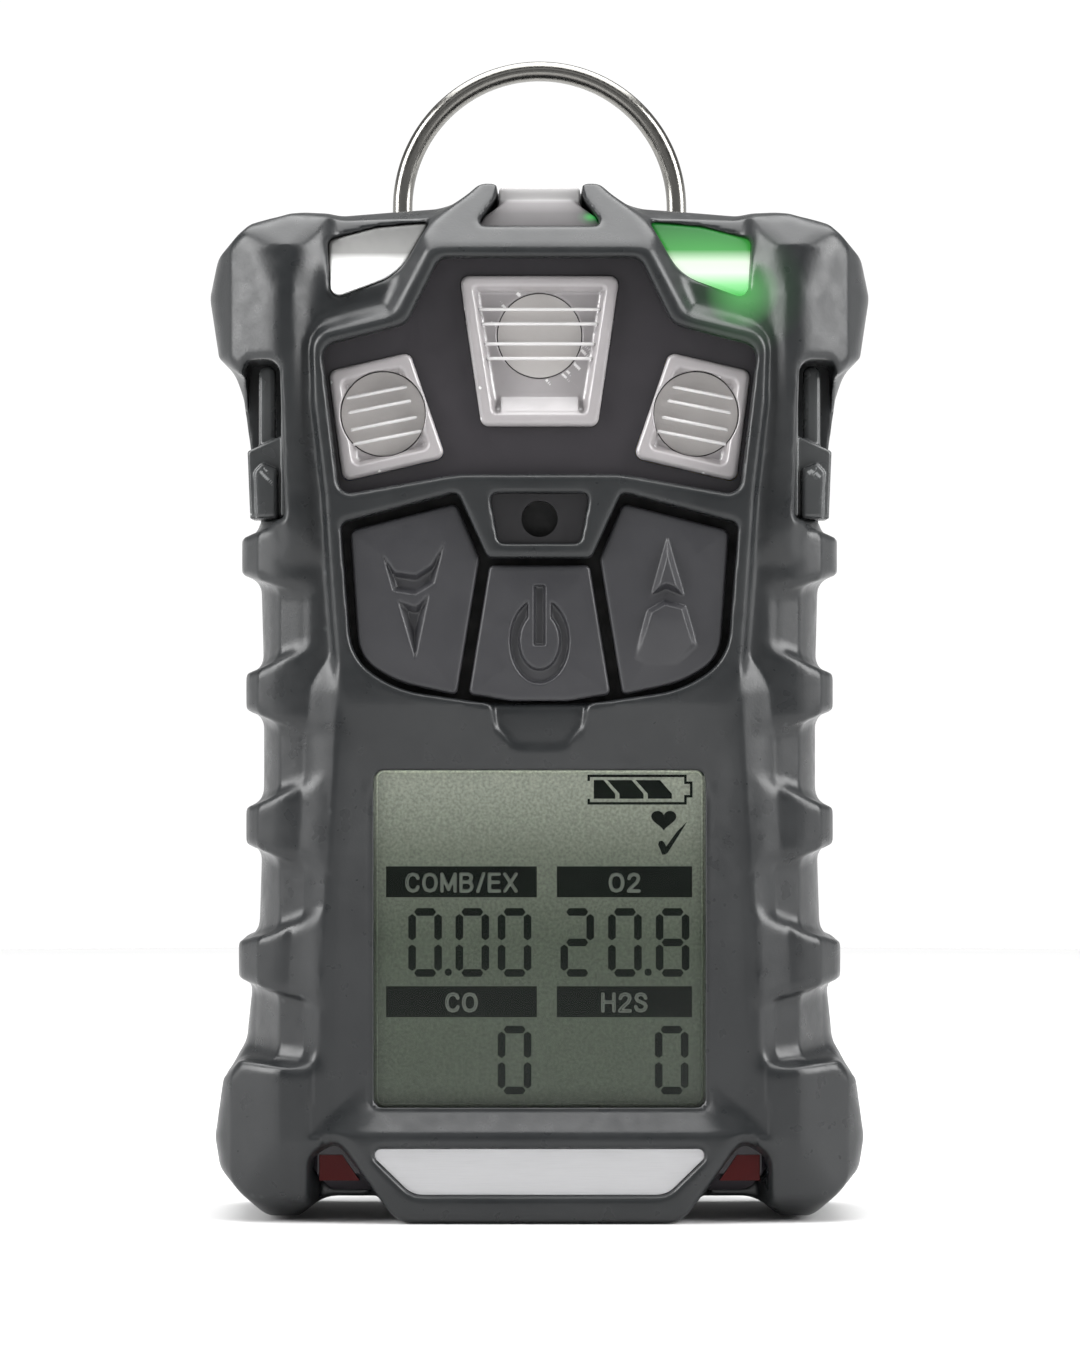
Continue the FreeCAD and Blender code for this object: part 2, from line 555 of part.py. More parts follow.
def make_vibrator():
    y, z = MOTOR_Y, MOTOR_Z
    motor = rod_x(y, z, MOTOR_R, -9.0, 3.0).cut(rod_x(y, z, 0.55, -2.0, 4.0))
    cradle = box(-8.4, -3.4, 3.8, HOUSING_BACK_Y - WALL, z - 3.8, z + 3.8)
    half_disc = rod_x(y, z, 2.7, 4.2, 7.4).cut(box(4.0, 8.0, y - 3, y + 3, z + 0.6, z + 4))
    return {
        "vibrator_motor": motor,
        "motor_cradle": cradle.cut(rod_x(y, z, MOTOR_R + 0.02, -10, 4)),
        "vibrator_weight": half_disc.fuse(rod_x(y, z, 0.5, -1.5, 7.9)),
    }


# ---- fasteners, plates and the clip --------------------------------------------------------------
def make_fasteners():
    screws, inserts = [], []
    for x, z in SCREW_PLACES:
        head = rod_y(x, z, 2.4, SCREW_HEAD_Y, SCREW_HEAD_Y + 1.9)
        star = head_socket(x, z, SCREW_HEAD_Y + 0.8)
        screws.append(head.fuse(rod_y(x, z, 1.25, -4.6, SCREW_HEAD_Y + 0.1)).cut(star))
        inserts.append(ring_y(x, z, 1.58, 1.3, -5.8, -0.3))
    clip_screws = []
    for z in CLIP_SCREW_HEIGHTS:
        top = HOUSING_BACK_Y + SHEET
        head = Part.makeCone(2.4, 1.8, 1.0, V(0, top, z), V(0, 1, 0))
        shank = rod_y(0.0, z, 1.2, 9.6, top + 0.1)
        clip_screws.append(head.fuse(shank).cut(head_socket(0.0, z, top + 0.4)))
    return {
        "case_screws": Part.makeCompound(screws),
        "screw_inserts": Part.makeCompound(inserts),
        "clip_screws": Part.makeCompound(clip_screws),
    }


def head_socket(x, z, floor_y):
    """Hexagonal driver socket."""
    corners = [
        (x + 1.15 * math.cos(math.radians(a)), z + 1.15 * math.sin(math.radians(a)))
        for a in range(0, 360, 60)
    ]
    return plate(corners, floor_y, floor_y + 3.0)


def make_plates():
    return {
        "nameplate": plate(grown(NAMEPLATE, -0.1), FACE_Y + 0.3, FACE_Y + 1.0),
        "rear_label": plate(grown(REAR_LABEL, -0.3), REAR_FACE_Y - 0.5, REAR_FACE_Y - 0.2),
    }


def ribbon(points, thickness):
    """Outline of a bent strip about a centreline of (u, v) points, with mitred corners."""
    normals = []
    for (u0, v0), (u1, v1) in zip(points, points[1:]):
        length = math.hypot(u1 - u0, v1 - v0)
        normals.append((-(v1 - v0) / length, (u1 - u0) / length))
    left, right = [], []
    for point, before, after in zip(points, normals[:1] + normals, normals + normals[-1:]):
        nu, nv = (before[0] + after[0]) / 2, (before[1] + after[1]) / 2
        scale = thickness / 2 / (nu * nu + nv * nv)
        left.append((point[0] + nu * scale, point[1] + nv * scale))
        right.append((point[0] - nu * scale, point[1] - nv * scale))
    return left + right[::-1]


def wire_loop():
    """Round wire bent to a D: a straight bar below, two legs and a half circle on top."""
    bend = 3.0
    corner = bend * math.sqrt(0.5)
    bar_z, top_z, y = LOOP_BAR_Z, LOOP_ARC_Z, LOOP_Y
    inner = LOOP_R - bend
    edges = [
        Part.makeLine(V(0, y, bar_z), V(inner, y, bar_z)),
        Part.Arc(V(inner, y, bar_z), V(inner + corner, y, bar_z + bend - corner),
                 V(LOOP_R, y, bar_z + bend)).toShape(),
        Part.makeLine(V(LOOP_R, y, bar_z + bend), V(LOOP_R, y, top_z)),
        Part.Arc(V(LOOP_R, y, top_z), V(0, y, top_z + LOOP_R), V(-LOOP_R, y, top_z)).toShape(),
        Part.makeLine(V(-LOOP_R, y, top_z), V(-LOOP_R, y, bar_z + bend)),
        Part.Arc(V(-LOOP_R, y, bar_z + bend), V(-inner - corner, y, bar_z + bend - corner),
                 V(-inner, y, bar_z)).toShape(),
        Part.makeLine(V(-inner, y, bar_z), V(0, y, bar_z)),
    ]
    profile = Part.Wire(Part.makeCircle(LOOP_WIRE_R, V(0, y, bar_z), V(1, 0, 0)))
    return Part.Wire(edges).makePipeShell([profile], True, False)


def make_clip_spring():
    """Torsion spring on the pin: one leg bears on the bracket, the other on the jaw's inside."""
    turns, pitch, mean, wire = 7.5, 0.95, 1.75, 0.35
    half = pitch * turns / 2
    coil_wire = Part.Wire(Part.makeCircle(wire, V(mean, 0, 0), V(0, 1, 0)))
    coil = Part.Wire(Part.makeHelix(pitch, pitch * turns, mean)).makePipeShell([coil_wire], True, True)
    coil.rotate(V(0, 0, 0), V(0, 1, 0), 90)
    coil.rotate(V(0, 0, 0), V(1, 0, 0), -90)
    coil.translate(V(-half, PIVOT_Y, PIVOT_Z))
    bracket_y = HOUSING_BACK_Y + SHEET + wire + 0.03
    jaw_y = LOOP_Y - 0.1 - SHEET / 2 - wire - 0.03
    legs = []
    for x, side, foot_y, foot_z in ((-half, -1, bracket_y, 90.5), (half, 1, jaw_y, 91.0)):
        start = V(x, PIVOT_Y + side * mean, PIVOT_Z - 0.3)
        run = V(x, foot_y, foot_z) - start
        legs.append(Part.makeCylinder(wire + 0.02, run.Length, start, run))
    return coil.fuse(legs)


def make_clip():
    y, z = PIVOT_Y, PIVOT_Z
    base_shape = both_sides([(-BRACKET_HALF, 98.6, 2.0), (-BRACKET_HALF, 47.0, 2.0)])
    base = plate(base_shape, HOUSING_BACK_Y, HOUSING_BACK_Y + SHEET)
    ear_shape = [
        (HOUSING_BACK_Y + 0.5, z - 7.0), (y - 1.0, z - 3.2, 1.0), (y + 2.6, z - 3.0, 2.0),
        (y + 2.6, z + 3.0, 2.0), (y - 1.0, z + 3.2, 1.0), (HOUSING_BACK_Y + 0.5, z + 7.0),
    ]
    ear = plate(ear_shape, -BRACKET_HALF, -BRACKET_HALF + SHEET, along_x)
    bores = [rod_x(y, z, PIN_R + 0.05, -12, 12)]
    bores += [rod_y(0.0, h, 1.35, 10, 20) for h in CLIP_SCREW_HEIGHTS]
    bracket = base.fuse([ear, mirrored(ear)]).cut(bores)

    jaw_y = LOOP_Y - 0.1
    bend_line = [
        (jaw_y, LOOP_BAR_Z), (jaw_y, 68.0), (jaw_y - 1.6, 62.0), (15.7, 51.0), (17.4, 47.4),
    ]
    leaf = plate(ribbon(bend_line, SHEET), -JAW_HALF, JAW_HALF, along_x)
    hem = rod_x(LOOP_Y, LOOP_BAR_Z, LOOP_WIRE_R + 0.05 + SHEET, -JAW_HALF, JAW_HALF)
    lug_shape = [
        (jaw_y, z - 6.0), (y - 1.9, z - 2.6, 1.6), (y - 2.3, z + 2.6, 1.6), (jaw_y, z + 6.0),
    ]
    lug = plate(lug_shape, -JAW_HALF, -JAW_HALF + SHEET, along_x)
    grips = [box(x - 0.6, x + 0.6, 14.5, 16.0, 50.2, 51.6) for x in (-6.0, -3.0, 0.0, 3.0, 6.0)]
    jaw = leaf.fuse([hem, lug, mirrored(lug)] + grips)
    jaw = jaw.cut([rod_x(LOOP_Y, LOOP_BAR_Z, LOOP_WIRE_R + 0.05, -12, 12), bores[0]])

    end, cap = BRACKET_HALF + 0.05, BRACKET_HALF + 0.7
    heads = [rod_x(y, z, PIN_R + 0.6, -cap, -end), rod_x(y, z, PIN_R + 0.6, end, cap)]
    pin = rod_x(y, z, PIN_R, -end - 0.05, end + 0.05).fuse(heads)
    return {
        "clip_bracket": bracket,
        "clip_jaw": jaw,
        "clip_pin": pin,
        "clip_spring": make_clip_spring(),
        "wire_loop": wire_loop(),
    }


# ---- writing -------------------------------------------------------------------------------------
def export(shapes):
    os.makedirs("parts", exist_ok=True)
    for name, shape in shapes.items():
        shape.exportStep("parts/" + name + ".step")
        state = "valid" if shape.isValid() else "INVALID"
        print(name, state, len(shape.Solids), round(shape.Volume, 1))


def main():
    blank = boot_blank()
    left_catch = make_side_catch()
    lens = beacon_lens()
    shapes = {
        "front_boot": make_front_boot(blank),
        "rear_boot": make_rear_boot(blank),
        "front_housing": make_front_housing(),
        "rear_housing": make_rear_housing(),
        "housing_gasket": gasket_ring(),
        "beacon_lens_left": lens,
        "beacon_lens_right": mirrored(lens),
        "top_window": top_window(),
        "bottom_beacon_left": bottom_beacon(),
        "bottom_beacon_right": mirrored(bottom_beacon()),
        "side_catch_left": left_catch,
        "side_catch_right": mirrored(left_catch),
    }
    groups = (
        make_sensor_windows, make_display, make_keys, make_horn, make_sensors, make_electronics,
        make_vibrator, make_fasteners, make_plates, make_clip,
    )
    for group in groups:
        shapes.update(group())
    export(shapes)


main()
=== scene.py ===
import math

import bmesh
import bpy
import numpy as np
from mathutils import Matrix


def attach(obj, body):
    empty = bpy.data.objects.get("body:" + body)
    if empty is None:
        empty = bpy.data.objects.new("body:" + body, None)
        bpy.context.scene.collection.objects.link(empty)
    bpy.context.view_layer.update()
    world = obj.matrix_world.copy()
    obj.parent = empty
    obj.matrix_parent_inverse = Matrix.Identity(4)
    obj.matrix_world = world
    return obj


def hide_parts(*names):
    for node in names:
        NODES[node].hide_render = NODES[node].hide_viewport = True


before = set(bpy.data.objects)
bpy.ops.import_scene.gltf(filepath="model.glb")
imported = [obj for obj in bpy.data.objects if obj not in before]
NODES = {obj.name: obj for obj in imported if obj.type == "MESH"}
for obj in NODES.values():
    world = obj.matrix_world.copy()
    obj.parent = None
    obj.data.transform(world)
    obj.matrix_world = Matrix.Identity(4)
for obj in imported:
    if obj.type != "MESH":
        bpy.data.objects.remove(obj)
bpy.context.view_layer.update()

import openvdb
from mathutils import Vector

# A portable gas detector: rubber boot, keys, sensor windows, lenses and display.
# Shapes are worked out in millimetres, in the frame's axes, and stored in metres.
# X is the width, Y the depth with the face towards -Y, and Z the height.

MM = 0.001
CHORDS = 6      # in a rounded corner of an outline


# ---- solid fields: negative inside, in millimetres ---------------------------
def arcs(points):
    """The outline with each third number's corner radius turned into short chords."""
    path = []
    for i, point in enumerate(points):
        here = np.array(point[:2], float)
        radius = point[2] if len(point) > 2 else 0.0
        if not radius:
            path.append(here)
            continue
        before = np.array(points[i - 1][:2], float) - here
        after = np.array(points[(i + 1) % len(points)][:2], float) - here
        before /= np.linalg.norm(before)
        after /= np.linalg.norm(after)
        half = math.acos(np.clip(before @ after, -1.0, 1.0)) / 2
        middle = (before + after) / np.linalg.norm(before + after)
        centre = here + middle * radius / math.sin(half)
        start = here + before * radius / math.tan(half) - centre
        end = here + after * radius / math.tan(half) - centre
        for step in range(CHORDS + 1):
            turn = start + (end - start) * step / CHORDS
            path.append(centre + turn / np.linalg.norm(turn) * radius)
    return path


def both_sides(points):
    """The outline closed by its own mirror image, walked back."""
    return list(points) + [(-p[0],) + tuple(p[1:]) for p in reversed(points)]


def handed(points, side):
    """An outline from the right of the object, mirrored for the left."""
    return [(side * p[0],) + tuple(p[1:]) for p in points]


def outline_distance(u, v, points):
    """Distance from the grid points to a closed outline, negative inside."""
    path = arcs(points)
    nearest = np.full(np.broadcast(u, v).shape, 1e9)
    inside = np.zeros(nearest.shape, bool)
    for i, (ax, ay) in enumerate(path):
        bx, by = path[(i + 1) % len(path)]
        ex, ey = bx - ax, by - ay
        length = ex * ex + ey * ey
        if length < 1e-12:
            continue
        along = np.clip(((u - ax) * ex + (v - ay) * ey) / length, 0.0, 1.0)
        nearest = np.minimum(nearest, (u - ax - ex * along) ** 2 + (v - ay - ey * along) ** 2)
        if ay != by:
            inside ^= ((ay > v) != (by > v)) & (u < ex * (v - ay) / ey + ax)
    return np.where(inside, -1.0, 1.0) * np.sqrt(nearest)


class Block:
    """A box of evenly spaced points on which a solid's field is worked out."""

    def __init__(self, low, high, step):
        self.low, self.step = low, step
        self.axes = [np.arange(a, b + step, step) for a, b in zip(low, high)]
        x, y, z = self.axes
        self.x, self.y, self.z = x[:, None, None], y[None, :, None], z[None, None, :]

    def front(self, points):
        """Distance to an outline seen from the front, X and Z."""
        x, _, z = self.axes
        return outline_distance(x[:, None], z[None, :], points)[:, None, :]

    def plan(self, points):
        """Distance to an outline seen from above, X and Y."""
        x, y, _ = self.axes
        return outline_distance(x[:, None], y[None, :], points)[:, :, None]

    def side(self, points):
        """Distance to an outline seen from the side, Y and Z."""
        _, y, z = self.axes
        return outline_distance(y[:, None], z[None, :], points)[None, :, :]

    def stroke(self, ax, az, bx, bz):
        """Distance to a straight line between two points, seen from the front."""
        ex, ez = bx - ax, bz - az
        along = np.clip(((self.x - ax) * ex + (self.z - az) * ez) / (ex * ex + ez * ez), 0.0, 1.0)
        return np.hypot(self.x - ax - ex * along, self.z - az - ez * along)


def join(a, b, blend):
    """Union with a fillet."""
    near = np.maximum(blend - np.abs(a - b), 0.0)
    return np.minimum(a, b) - near * near / (4 * blend)


def meet(a, b, blend):
    """Intersection with a rounded edge."""
    return -join(-a, -b, blend)


def cut(a, b, blend):
    """What is left of a outside b, with a rounded edge."""
    return meet(a, -b, blend)


def ramp(value, low, high):
    """Smooth step from 0 to 1."""
    t = np.clip((value - low) / (high - low), 0.0, 1.0)
    return t * t * (3 - 2 * t)


def linked(name, data):
    """New object in the scene."""
    made = bpy.data.objects.new(name, data)
    bpy.context.collection.objects.link(made)
    return made


def carve(name, block, field, mirror=False, faces=None):
    """Mesh object of a field's zero surface. A mirrored block holds the half from X = 0 up."""
    low = list(block.low)
    if mirror:
        field = np.concatenate([field[:0:-1], field], axis=0)
        low[0] = -(field.shape[0] // 2) * block.step
    field = np.pad(field, 1, constant_values=block.step)
    grid = openvdb.FloatGrid(1.0)
    grid.copyFromArray(np.ascontiguousarray(field, dtype=np.float32))
    points, quads = grid.convertToQuads(0.0)
    points = (np.array(points) - 1.0) * block.step + np.array(low)
    mesh = bpy.data.meshes.new(name)
    mesh.from_pydata((points * MM).tolist(), [], quads[:, ::-1].tolist())
    mesh.polygons.foreach_set("use_smooth", np.ones(len(mesh.polygons), bool))
    piece = linked(name, mesh)
    if faces and 2 * len(quads) > faces:
        thin_out(piece, faces / (2 * len(quads)))
    return piece


def thin_out(piece, share):
    """Collapses the flattest edges until that share of the faces is left, and evens the shading."""
    piece.modifiers.new("thin", "DECIMATE").ratio = share
    piece.modifiers.new("soften", "SMOOTH").iterations = 2
    piece.modifiers.new("shading", "WEIGHTED_NORMAL").weight = 50
    evaluated = piece.evaluated_get(bpy.context.evaluated_depsgraph_get())
    thinned = bpy.data.meshes.new_from_object(evaluated)
    piece.modifiers.clear()
    piece.data = thinned


# ---- outlines shared by the pieces -------------------------------------------
SEAM_GAP = 0.06                 # the two halves of the boot stop this far from the middle plane
AHEAD, BEHIND = -20.0, 20.0     # depths clear of the boot, in front and behind
OPENING_FLOOR_Y = -12.6         # the openings of the face reach this deep, into the housing's room
TOP_SLOT_HALF, TOP_SLOT_FLOOR = 4.65, 107.0      # half its width, and its lowest height
BOOT_FACES = 190000             # triangles left in each half of the boot
FLANKS = {"left": -1, "right": 1}
RIB_HEIGHTS = (73.3, 58.3, 43.5, 28.6)
RIB_HALF_WIDTHS = (33.0, 32.5, 32.5, 33.4)
SCREW_PLACES = ((22.5, 10.5), (22.5, 101.3))
SCREW_HOLE_R = 3.2

CORE = both_sides([
    (11.0, 112.4, 3.0), (26.0, 110.9, 1.0), (32.4, 104.0, 2.0), (33.4, 92.6, 2.0),
    (31.2, 76.7, 4.0), (30.7, 60.0, 8.0), (30.7, 48.0, 8.0), (31.2, 33.0, 4.0),
    (32.6, 21.0, 4.0), (33.2, 14.0, 2.0), (31.0, 6.0, 2.0), (25.0, 2.5, 1.0),
])
CORE_PLAN = both_sides([
    (23.0, -17.0), (25.9, -13.3), (28.6, -11.7), (31.6, -5.5), (34.6, -1.0), (34.6, 3.0), (29.4, 10.4),
    (26.0, 13.2), (24.5, 15.2),
])
RIB_PLAN = both_sides([
    (22.9, -16.5), (31.0, -12.0), (34.6, -6.0), (34.6, 7.0), (31.0, 12.2), (24.5, 15.2),
])
SIDE = [
    (-10.0, 0.0), (9.0, 0.0), (14.5, 3.0), (16.5, 8.0), (16.5, 100.0), (13.5, 108.5), (8.0, 113.0),
    (-4.0, 113.0), (-9.5, 110.5), (-15.6, 101.0), (-16.5, 98.0), (-16.5, 10.0), (-14.5, 4.0),
]
TOP_CORNER = [
    (23.0, 74.0), (23.4, 110.8, 0.5), (27.6, 111.4, 1.5), (32.0, 109.9, 2.0), (35.6, 106.3, 2.5),
    (36.6, 102.0, 3.0), (35.5, 95.2, 0.8), (32.6, 92.9, 0.8), (29.4, 91.5, 1.0), (28.9, 79.0, 1.0),
    (27.4, 74.0),
]
TOP_CORNER_PLAN = [
    (20.0, -11.0), (23.2, -12.2), (27.1, -16.3), (28.4, -16.3), (34.0, -12.2), (38.6, -5.0),
    (38.6, 5.0), (34.2, 12.4), (29.0, 16.2), (20.0, 16.2),
]
TOP_CORNER_SIDE = [
    (5.0, 70.0), (16.4, 84.0), (16.4, 103.0), (13.5, 110.0), (8.0, 113.0), (-5.0, 113.0),
    (-11.0, 111.2), (-15.0, 107.4), (-16.4, 102.0), (-16.3, 95.0), (-14.6, 76.0), (-13.0, 70.0),
]
BOTTOM_CORNER = [
    (24.6, 17.0, 1.0), (24.9, 2.6, 0.6), (26.4, 0.0, 1.0), (30.0, 0.0, 1.5), (35.4, 5.6, 2.5),
    (36.0, 9.0, 2.5), (35.0, 15.6, 1.2), (33.0, 17.8, 1.0),
]
BOTTOM_CORNER_PLAN = [
    (20.0, -15.7), (26.6, -15.9), (28.4, -15.5), (34.0, -11.8), (38.6, -5.0), (38.6, 5.0),
    (34.2, 12.4), (29.0, 16.2), (20.0, 16.2),
]
BOTTOM_CORNER_SIDE = [
    (-9.5, 0.0), (9.0, 0.0), (14.5, 3.0), (16.4, 8.0), (16.4, 30.0), (-16.2, 30.0), (-16.2, 9.0),
    (-13.8, 3.0),
]
PANEL = both_sides([
    (6.4, 115.0, 0.8), (11.6, 107.6, 1.2), (15.9, 99.4, 2.5), (24.8, 97.4, 2.2),
    (24.6, 90.0), (23.4, 80.2, 4.0), (22.8, 72.0, 8.0), (21.9, 60.4, 6.0), (20.2, 54.3, 3.0),
    (18.5, 48.0),
])
HOOD_SIDE = [
    (6.6, 40.0), (-17.5, 40.0), (-17.5, 106.0), (-15.9, 107.2), (-7.8, 114.7), (6.6, 114.7),
]
CREST = both_sides([(21.5, 62.0), (25.2, 9.7)])
CHIN = both_sides([(22.0, 10.2, 0.5), (22.0, 8.8, 1.0), (15.6, 0.0, 3.5)])
SENSOR_BAY = both_sides([
    (11.0, 105.9, 1.5), (14.6, 98.6, 2.0), (23.9, 96.2, 1.6), (21.9, 79.9, 1.4), (9.0, 82.2, 14.0),
])
KEY_BAY = both_sides([
    (5.7, 73.0, 0.8), (9.0, 80.2, 0.8), (21.8, 76.8, 0.8), (20.6, 61.8, 6.0), (15.5, 58.5, 12.0),
    (6.0, 57.1, 14.0),
])
HORN_PLATE = both_sides([(5.5, 80.1, 0.7), (4.5, 74.6, 0.7)])
SCOOP = both_sides([(5.2, 57.9, 0.3), (4.6, 54.6, 1.0), (2.6, 52.6, 1.5)])
DISPLAY = both_sides([(18.6, 49.6, 1.2), (18.6, 12.3, 1.2)])
DISPLAY_LIP = both_sides([(18.05, 49.7, 0.9), (18.05, 12.8, 0.9)])
NAMEPLATE = both_sides([(19.3, 8.3, 0.8), (14.0, 3.1, 3.0)])
BOTTOM_NOTCH = [(24.4, 1.0), (23.8, 6.6, 0.6), (22.4, 7.4, 0.4), (15.0, -2.0), (24.4, -2.0)]
BEACON = [
    (23.4, 108.2, 0.8), (18.0, 109.7, 6.0), (12.0, 110.3, 0.3), (15.4, 104.2, 6.0), (22.9, 101.4, 1.0),
]
TOP_OPENING = both_sides([(3.6, 116.0), (4.6, 113.2, 0.6), (6.2, 110.9, 1.0), (7.0, 109.6, 0.5)])
CATCH_POCKET = [
    (28.0, 77.4, 0.5), (38.0, 77.4), (38.0, 86.0), (32.6, 86.0), (32.4, 94.8, 1.0), (28.5, 94.8, 1.5),
]
REAR_RECESS = both_sides([(15.0, 101.0, 2.0), (15.0, 44.0, 2.0)])
REAR_LABEL = both_sides([(20.0, 40.0, 2.0), (20.0, 14.0, 2.0)])
HOUSING = both_sides([(22.0, 108.6, 2.0), (28.3, 98.0, 3.0), (28.3, 10.5, 3.0), (23.0, 3.4, 2.0)])
HOUSING_SIDE = [
    (-10.6, 3.4), (11.2, 3.4), (13.0, 7.0), (13.0, 100.0), (8.5, 108.6), (-8.2, 108.6),
    (-13.0, 100.6), (-13.0, 5.4),
]
HOUSING_PLAN = both_sides([(24.4, -13.0), (28.4, -9.0), (28.4, 9.0), (24.4, 13.0)])
HOUSING_HOOD = both_sides([(11.2, 108.0), (15.4, 98.0), (15.4, 88.0)])


# ---- rubber boot -------------------------------------------------------------
def rib_outline(middle, half_width):
    """One rib seen from the front: it widens towards the face."""
    return [
        (23.6, middle - 4.2), (29.0, middle - 3.3), (half_width - 1.6, middle - 2.6),
        (half_width, middle - 2.0, 0.6), (half_width, middle + 2.0, 0.6),
        (half_width - 1.6, middle + 2.6), (29.0, middle + 3.4), (23.6, middle + 5.6),
    ]


def corner_field(block, outline, plan, side_view):
    """One corner bumper, crossed from its three outlines."""
    return meet(meet(block.front(outline), block.plan(plan), 1.1), block.side(side_view), 1.6)


def core_field(block):
    """The waisted core, without ribs and bumpers."""
    return meet(meet(block.front(CORE), block.plan(CORE_PLAN), 1.6), block.side(SIDE), 2.0)


def flank_field(block):
    """The body without its face: waisted core, ribs and lower bumpers."""
    ribs = block.front(rib_outline(RIB_HEIGHTS[0], RIB_HALF_WIDTHS[0]))
    for middle, half_width in zip(RIB_HEIGHTS[1:], RIB_HALF_WIDTHS[1:]):
        ribs = np.minimum(ribs, block.front(rib_outline(middle, half_width)))
    body = join(core_field(block), meet(ribs, block.plan(RIB_PLAN), 0.9), 1.3)
    corner = corner_field(block, BOTTOM_CORNER, BOTTOM_CORNER_PLAN, BOTTOM_CORNER_SIDE)
    return join(body, corner, 2.6)


def face_height(block):
    """How far the face stands out towards -Y: a display bezel inside a crest, and a valley."""
    valley = 13.9
    crest_y = valley + 2.0 * (1 - ramp(block.z, 58.0, 66.0))
    floor = 13.8
    to_crest = block.front(CREST)
    to_display = np.maximum(block.front(DISPLAY), 0.0)
    inward = np.maximum(-to_crest, 0.0)
    share = inward / (inward + to_display + 1e-6)
    bezel = crest_y - (crest_y - floor) * share
    outside = crest_y - 0.55 * np.maximum(to_crest, 0.0)
    near_corner = 2.6 * ramp(block.x, 23.0, 24.2) * (1 - ramp(block.z, 16.0, 22.0))
    return np.where(to_crest < 0.0, bezel, np.maximum(outside, valley + near_corner))


def panel_field(block):
    """The raised frame round the sensors and the keys, with its hood."""
    steep = 0.30 + 0.50 * ramp(block.z, 95.0, 101.0) - 0.78 * ramp(block.z, 105.5, 114.5)
    reach = np.minimum(block.y + 16.2, 13.0)
    flank = (block.front(PANEL) - steep * reach) / np.sqrt(1 + steep * steep)
    heights = np.interp(block.axes[2], (48.0, 51.0, 57.0, 70.0, 97.0), (13.7, 14.2, 15.6, 15.8, 16.2))
    front = -block.y - heights[None, None, :]
    panel = meet(flank, front, 0.7)
    return meet(panel, block.side(HOOD_SIDE), 0.8)


def boot_field(block):
    """Both halves of the boot, before the cavity and the openings."""
    body = meet(flank_field(block), -block.y - face_height(block), 1.2)
    body = join(body, corner_field(block, TOP_CORNER, TOP_CORNER_PLAN, TOP_CORNER_SIDE), 2.2)
    body = join(body, panel_field(block), 0.9)
    notch = block.front(BOTTOM_NOTCH) - 0.26 * np.maximum(-block.y - 9.0, 0.0)
    body = cut(body, np.maximum(notch, block.y + 9.0), 0.7)
    chin = meet(block.front(CHIN), -block.y - 15.9, 1.6)
    return join(body, meet(chin, block.y + 6.0, 0.5), 0.6)


def cavity_field(block):
    """The room that the rigid housing fills."""
    room = np.maximum(block.front(HOUSING), block.side(HOUSING_SIDE))
    room = np.maximum(room, block.plan(HOUSING_PLAN))
    hood = np.maximum(block.front(HOUSING_HOOD), np.abs(block.y + 9.0) - 4.0)
    return np.minimum(room, hood) - 0.02


def prism(block, points, low, high):
    """An outline seen from the front, between two depths."""
    return np.maximum(block.front(points), np.maximum(low - block.y, block.y - high))


def top_slot(block, end):
    """The slot that holds the top window, closed by the plane given."""
    return np.maximum(np.abs(block.x) - TOP_SLOT_HALF, np.maximum(TOP_SLOT_FLOOR - block.z, end))


def carve_half(name, block, body, openings):
    """One half of the boot, less its openings and the housing's room."""
    for opening, blend in openings:
        body = cut(body, opening, blend)
    body = np.maximum(body, -cavity_field(block))
    return carve(name, block, body, mirror=True, faces=BOOT_FACES)


def make_front_boot(block, body):
    """Front half, with the openings of the face, the flanks and the top."""
    body = meet(body, block.y + SEAM_GAP, 0.3)
    openings = [(prism(block, outline, low, high), blend) for outline, low, high, blend in (
        (SENSOR_BAY, AHEAD, OPENING_FLOOR_Y, 0.8),
        (KEY_BAY, AHEAD, OPENING_FLOOR_Y, 0.55),
        (HORN_PLATE, AHEAD, OPENING_FLOOR_Y, 0.5),
        (SCOOP, AHEAD, -14.5, 1.0),
        (DISPLAY_LIP, AHEAD, OPENING_FLOOR_Y, 0.4),
        (DISPLAY, -13.65, OPENING_FLOOR_Y, 0.02),
        (NAMEPLATE, AHEAD, -14.6, 0.5),
        (CATCH_POCKET, AHEAD, 1.0, 0.8),
        (BEACON, AHEAD, -6.0, 0.35),
        (TOP_OPENING, AHEAD, -6.0, 0.6),
    )]
    openings.append((top_slot(block, -9.5 - block.y), 0.6))
    return carve_half("boot_front_half", block, body, openings)


def make_rear_boot(block, body):
    """Rear half, with its two recesses, the top slot, the charger's port and the screw holes."""
    body = meet(body, SEAM_GAP - block.y, 0.3)
    port = np.maximum(np.abs(block.x) - 9.0, np.maximum(np.abs(block.y - 6.75) - 3.75, block.z - 5.0))
    openings = [
        (prism(block, REAR_RECESS, 10.0, BEHIND), 0.6),
        (prism(block, REAR_LABEL, 14.7, BEHIND), 0.4),
        (top_slot(block, block.y - 5.05), 0.6),
        (port, 0.6),
    ]
    for x, z in SCREW_PLACES:
        hole = np.sqrt((block.x - x) ** 2 + (block.z - z) ** 2) - SCREW_HOLE_R
        openings.append((np.maximum(hole, 10.0 - block.y), 0.6))
    return carve_half("boot_rear_half", block, body, openings)


def flank_block(side, low, high, step):
    """Grid on one flank, from the corners that it has on the right."""
    if side < 0:
        low, high = (-high[0], *low[1:]), (-low[0], *high[1:])
    return Block(low, high, step)


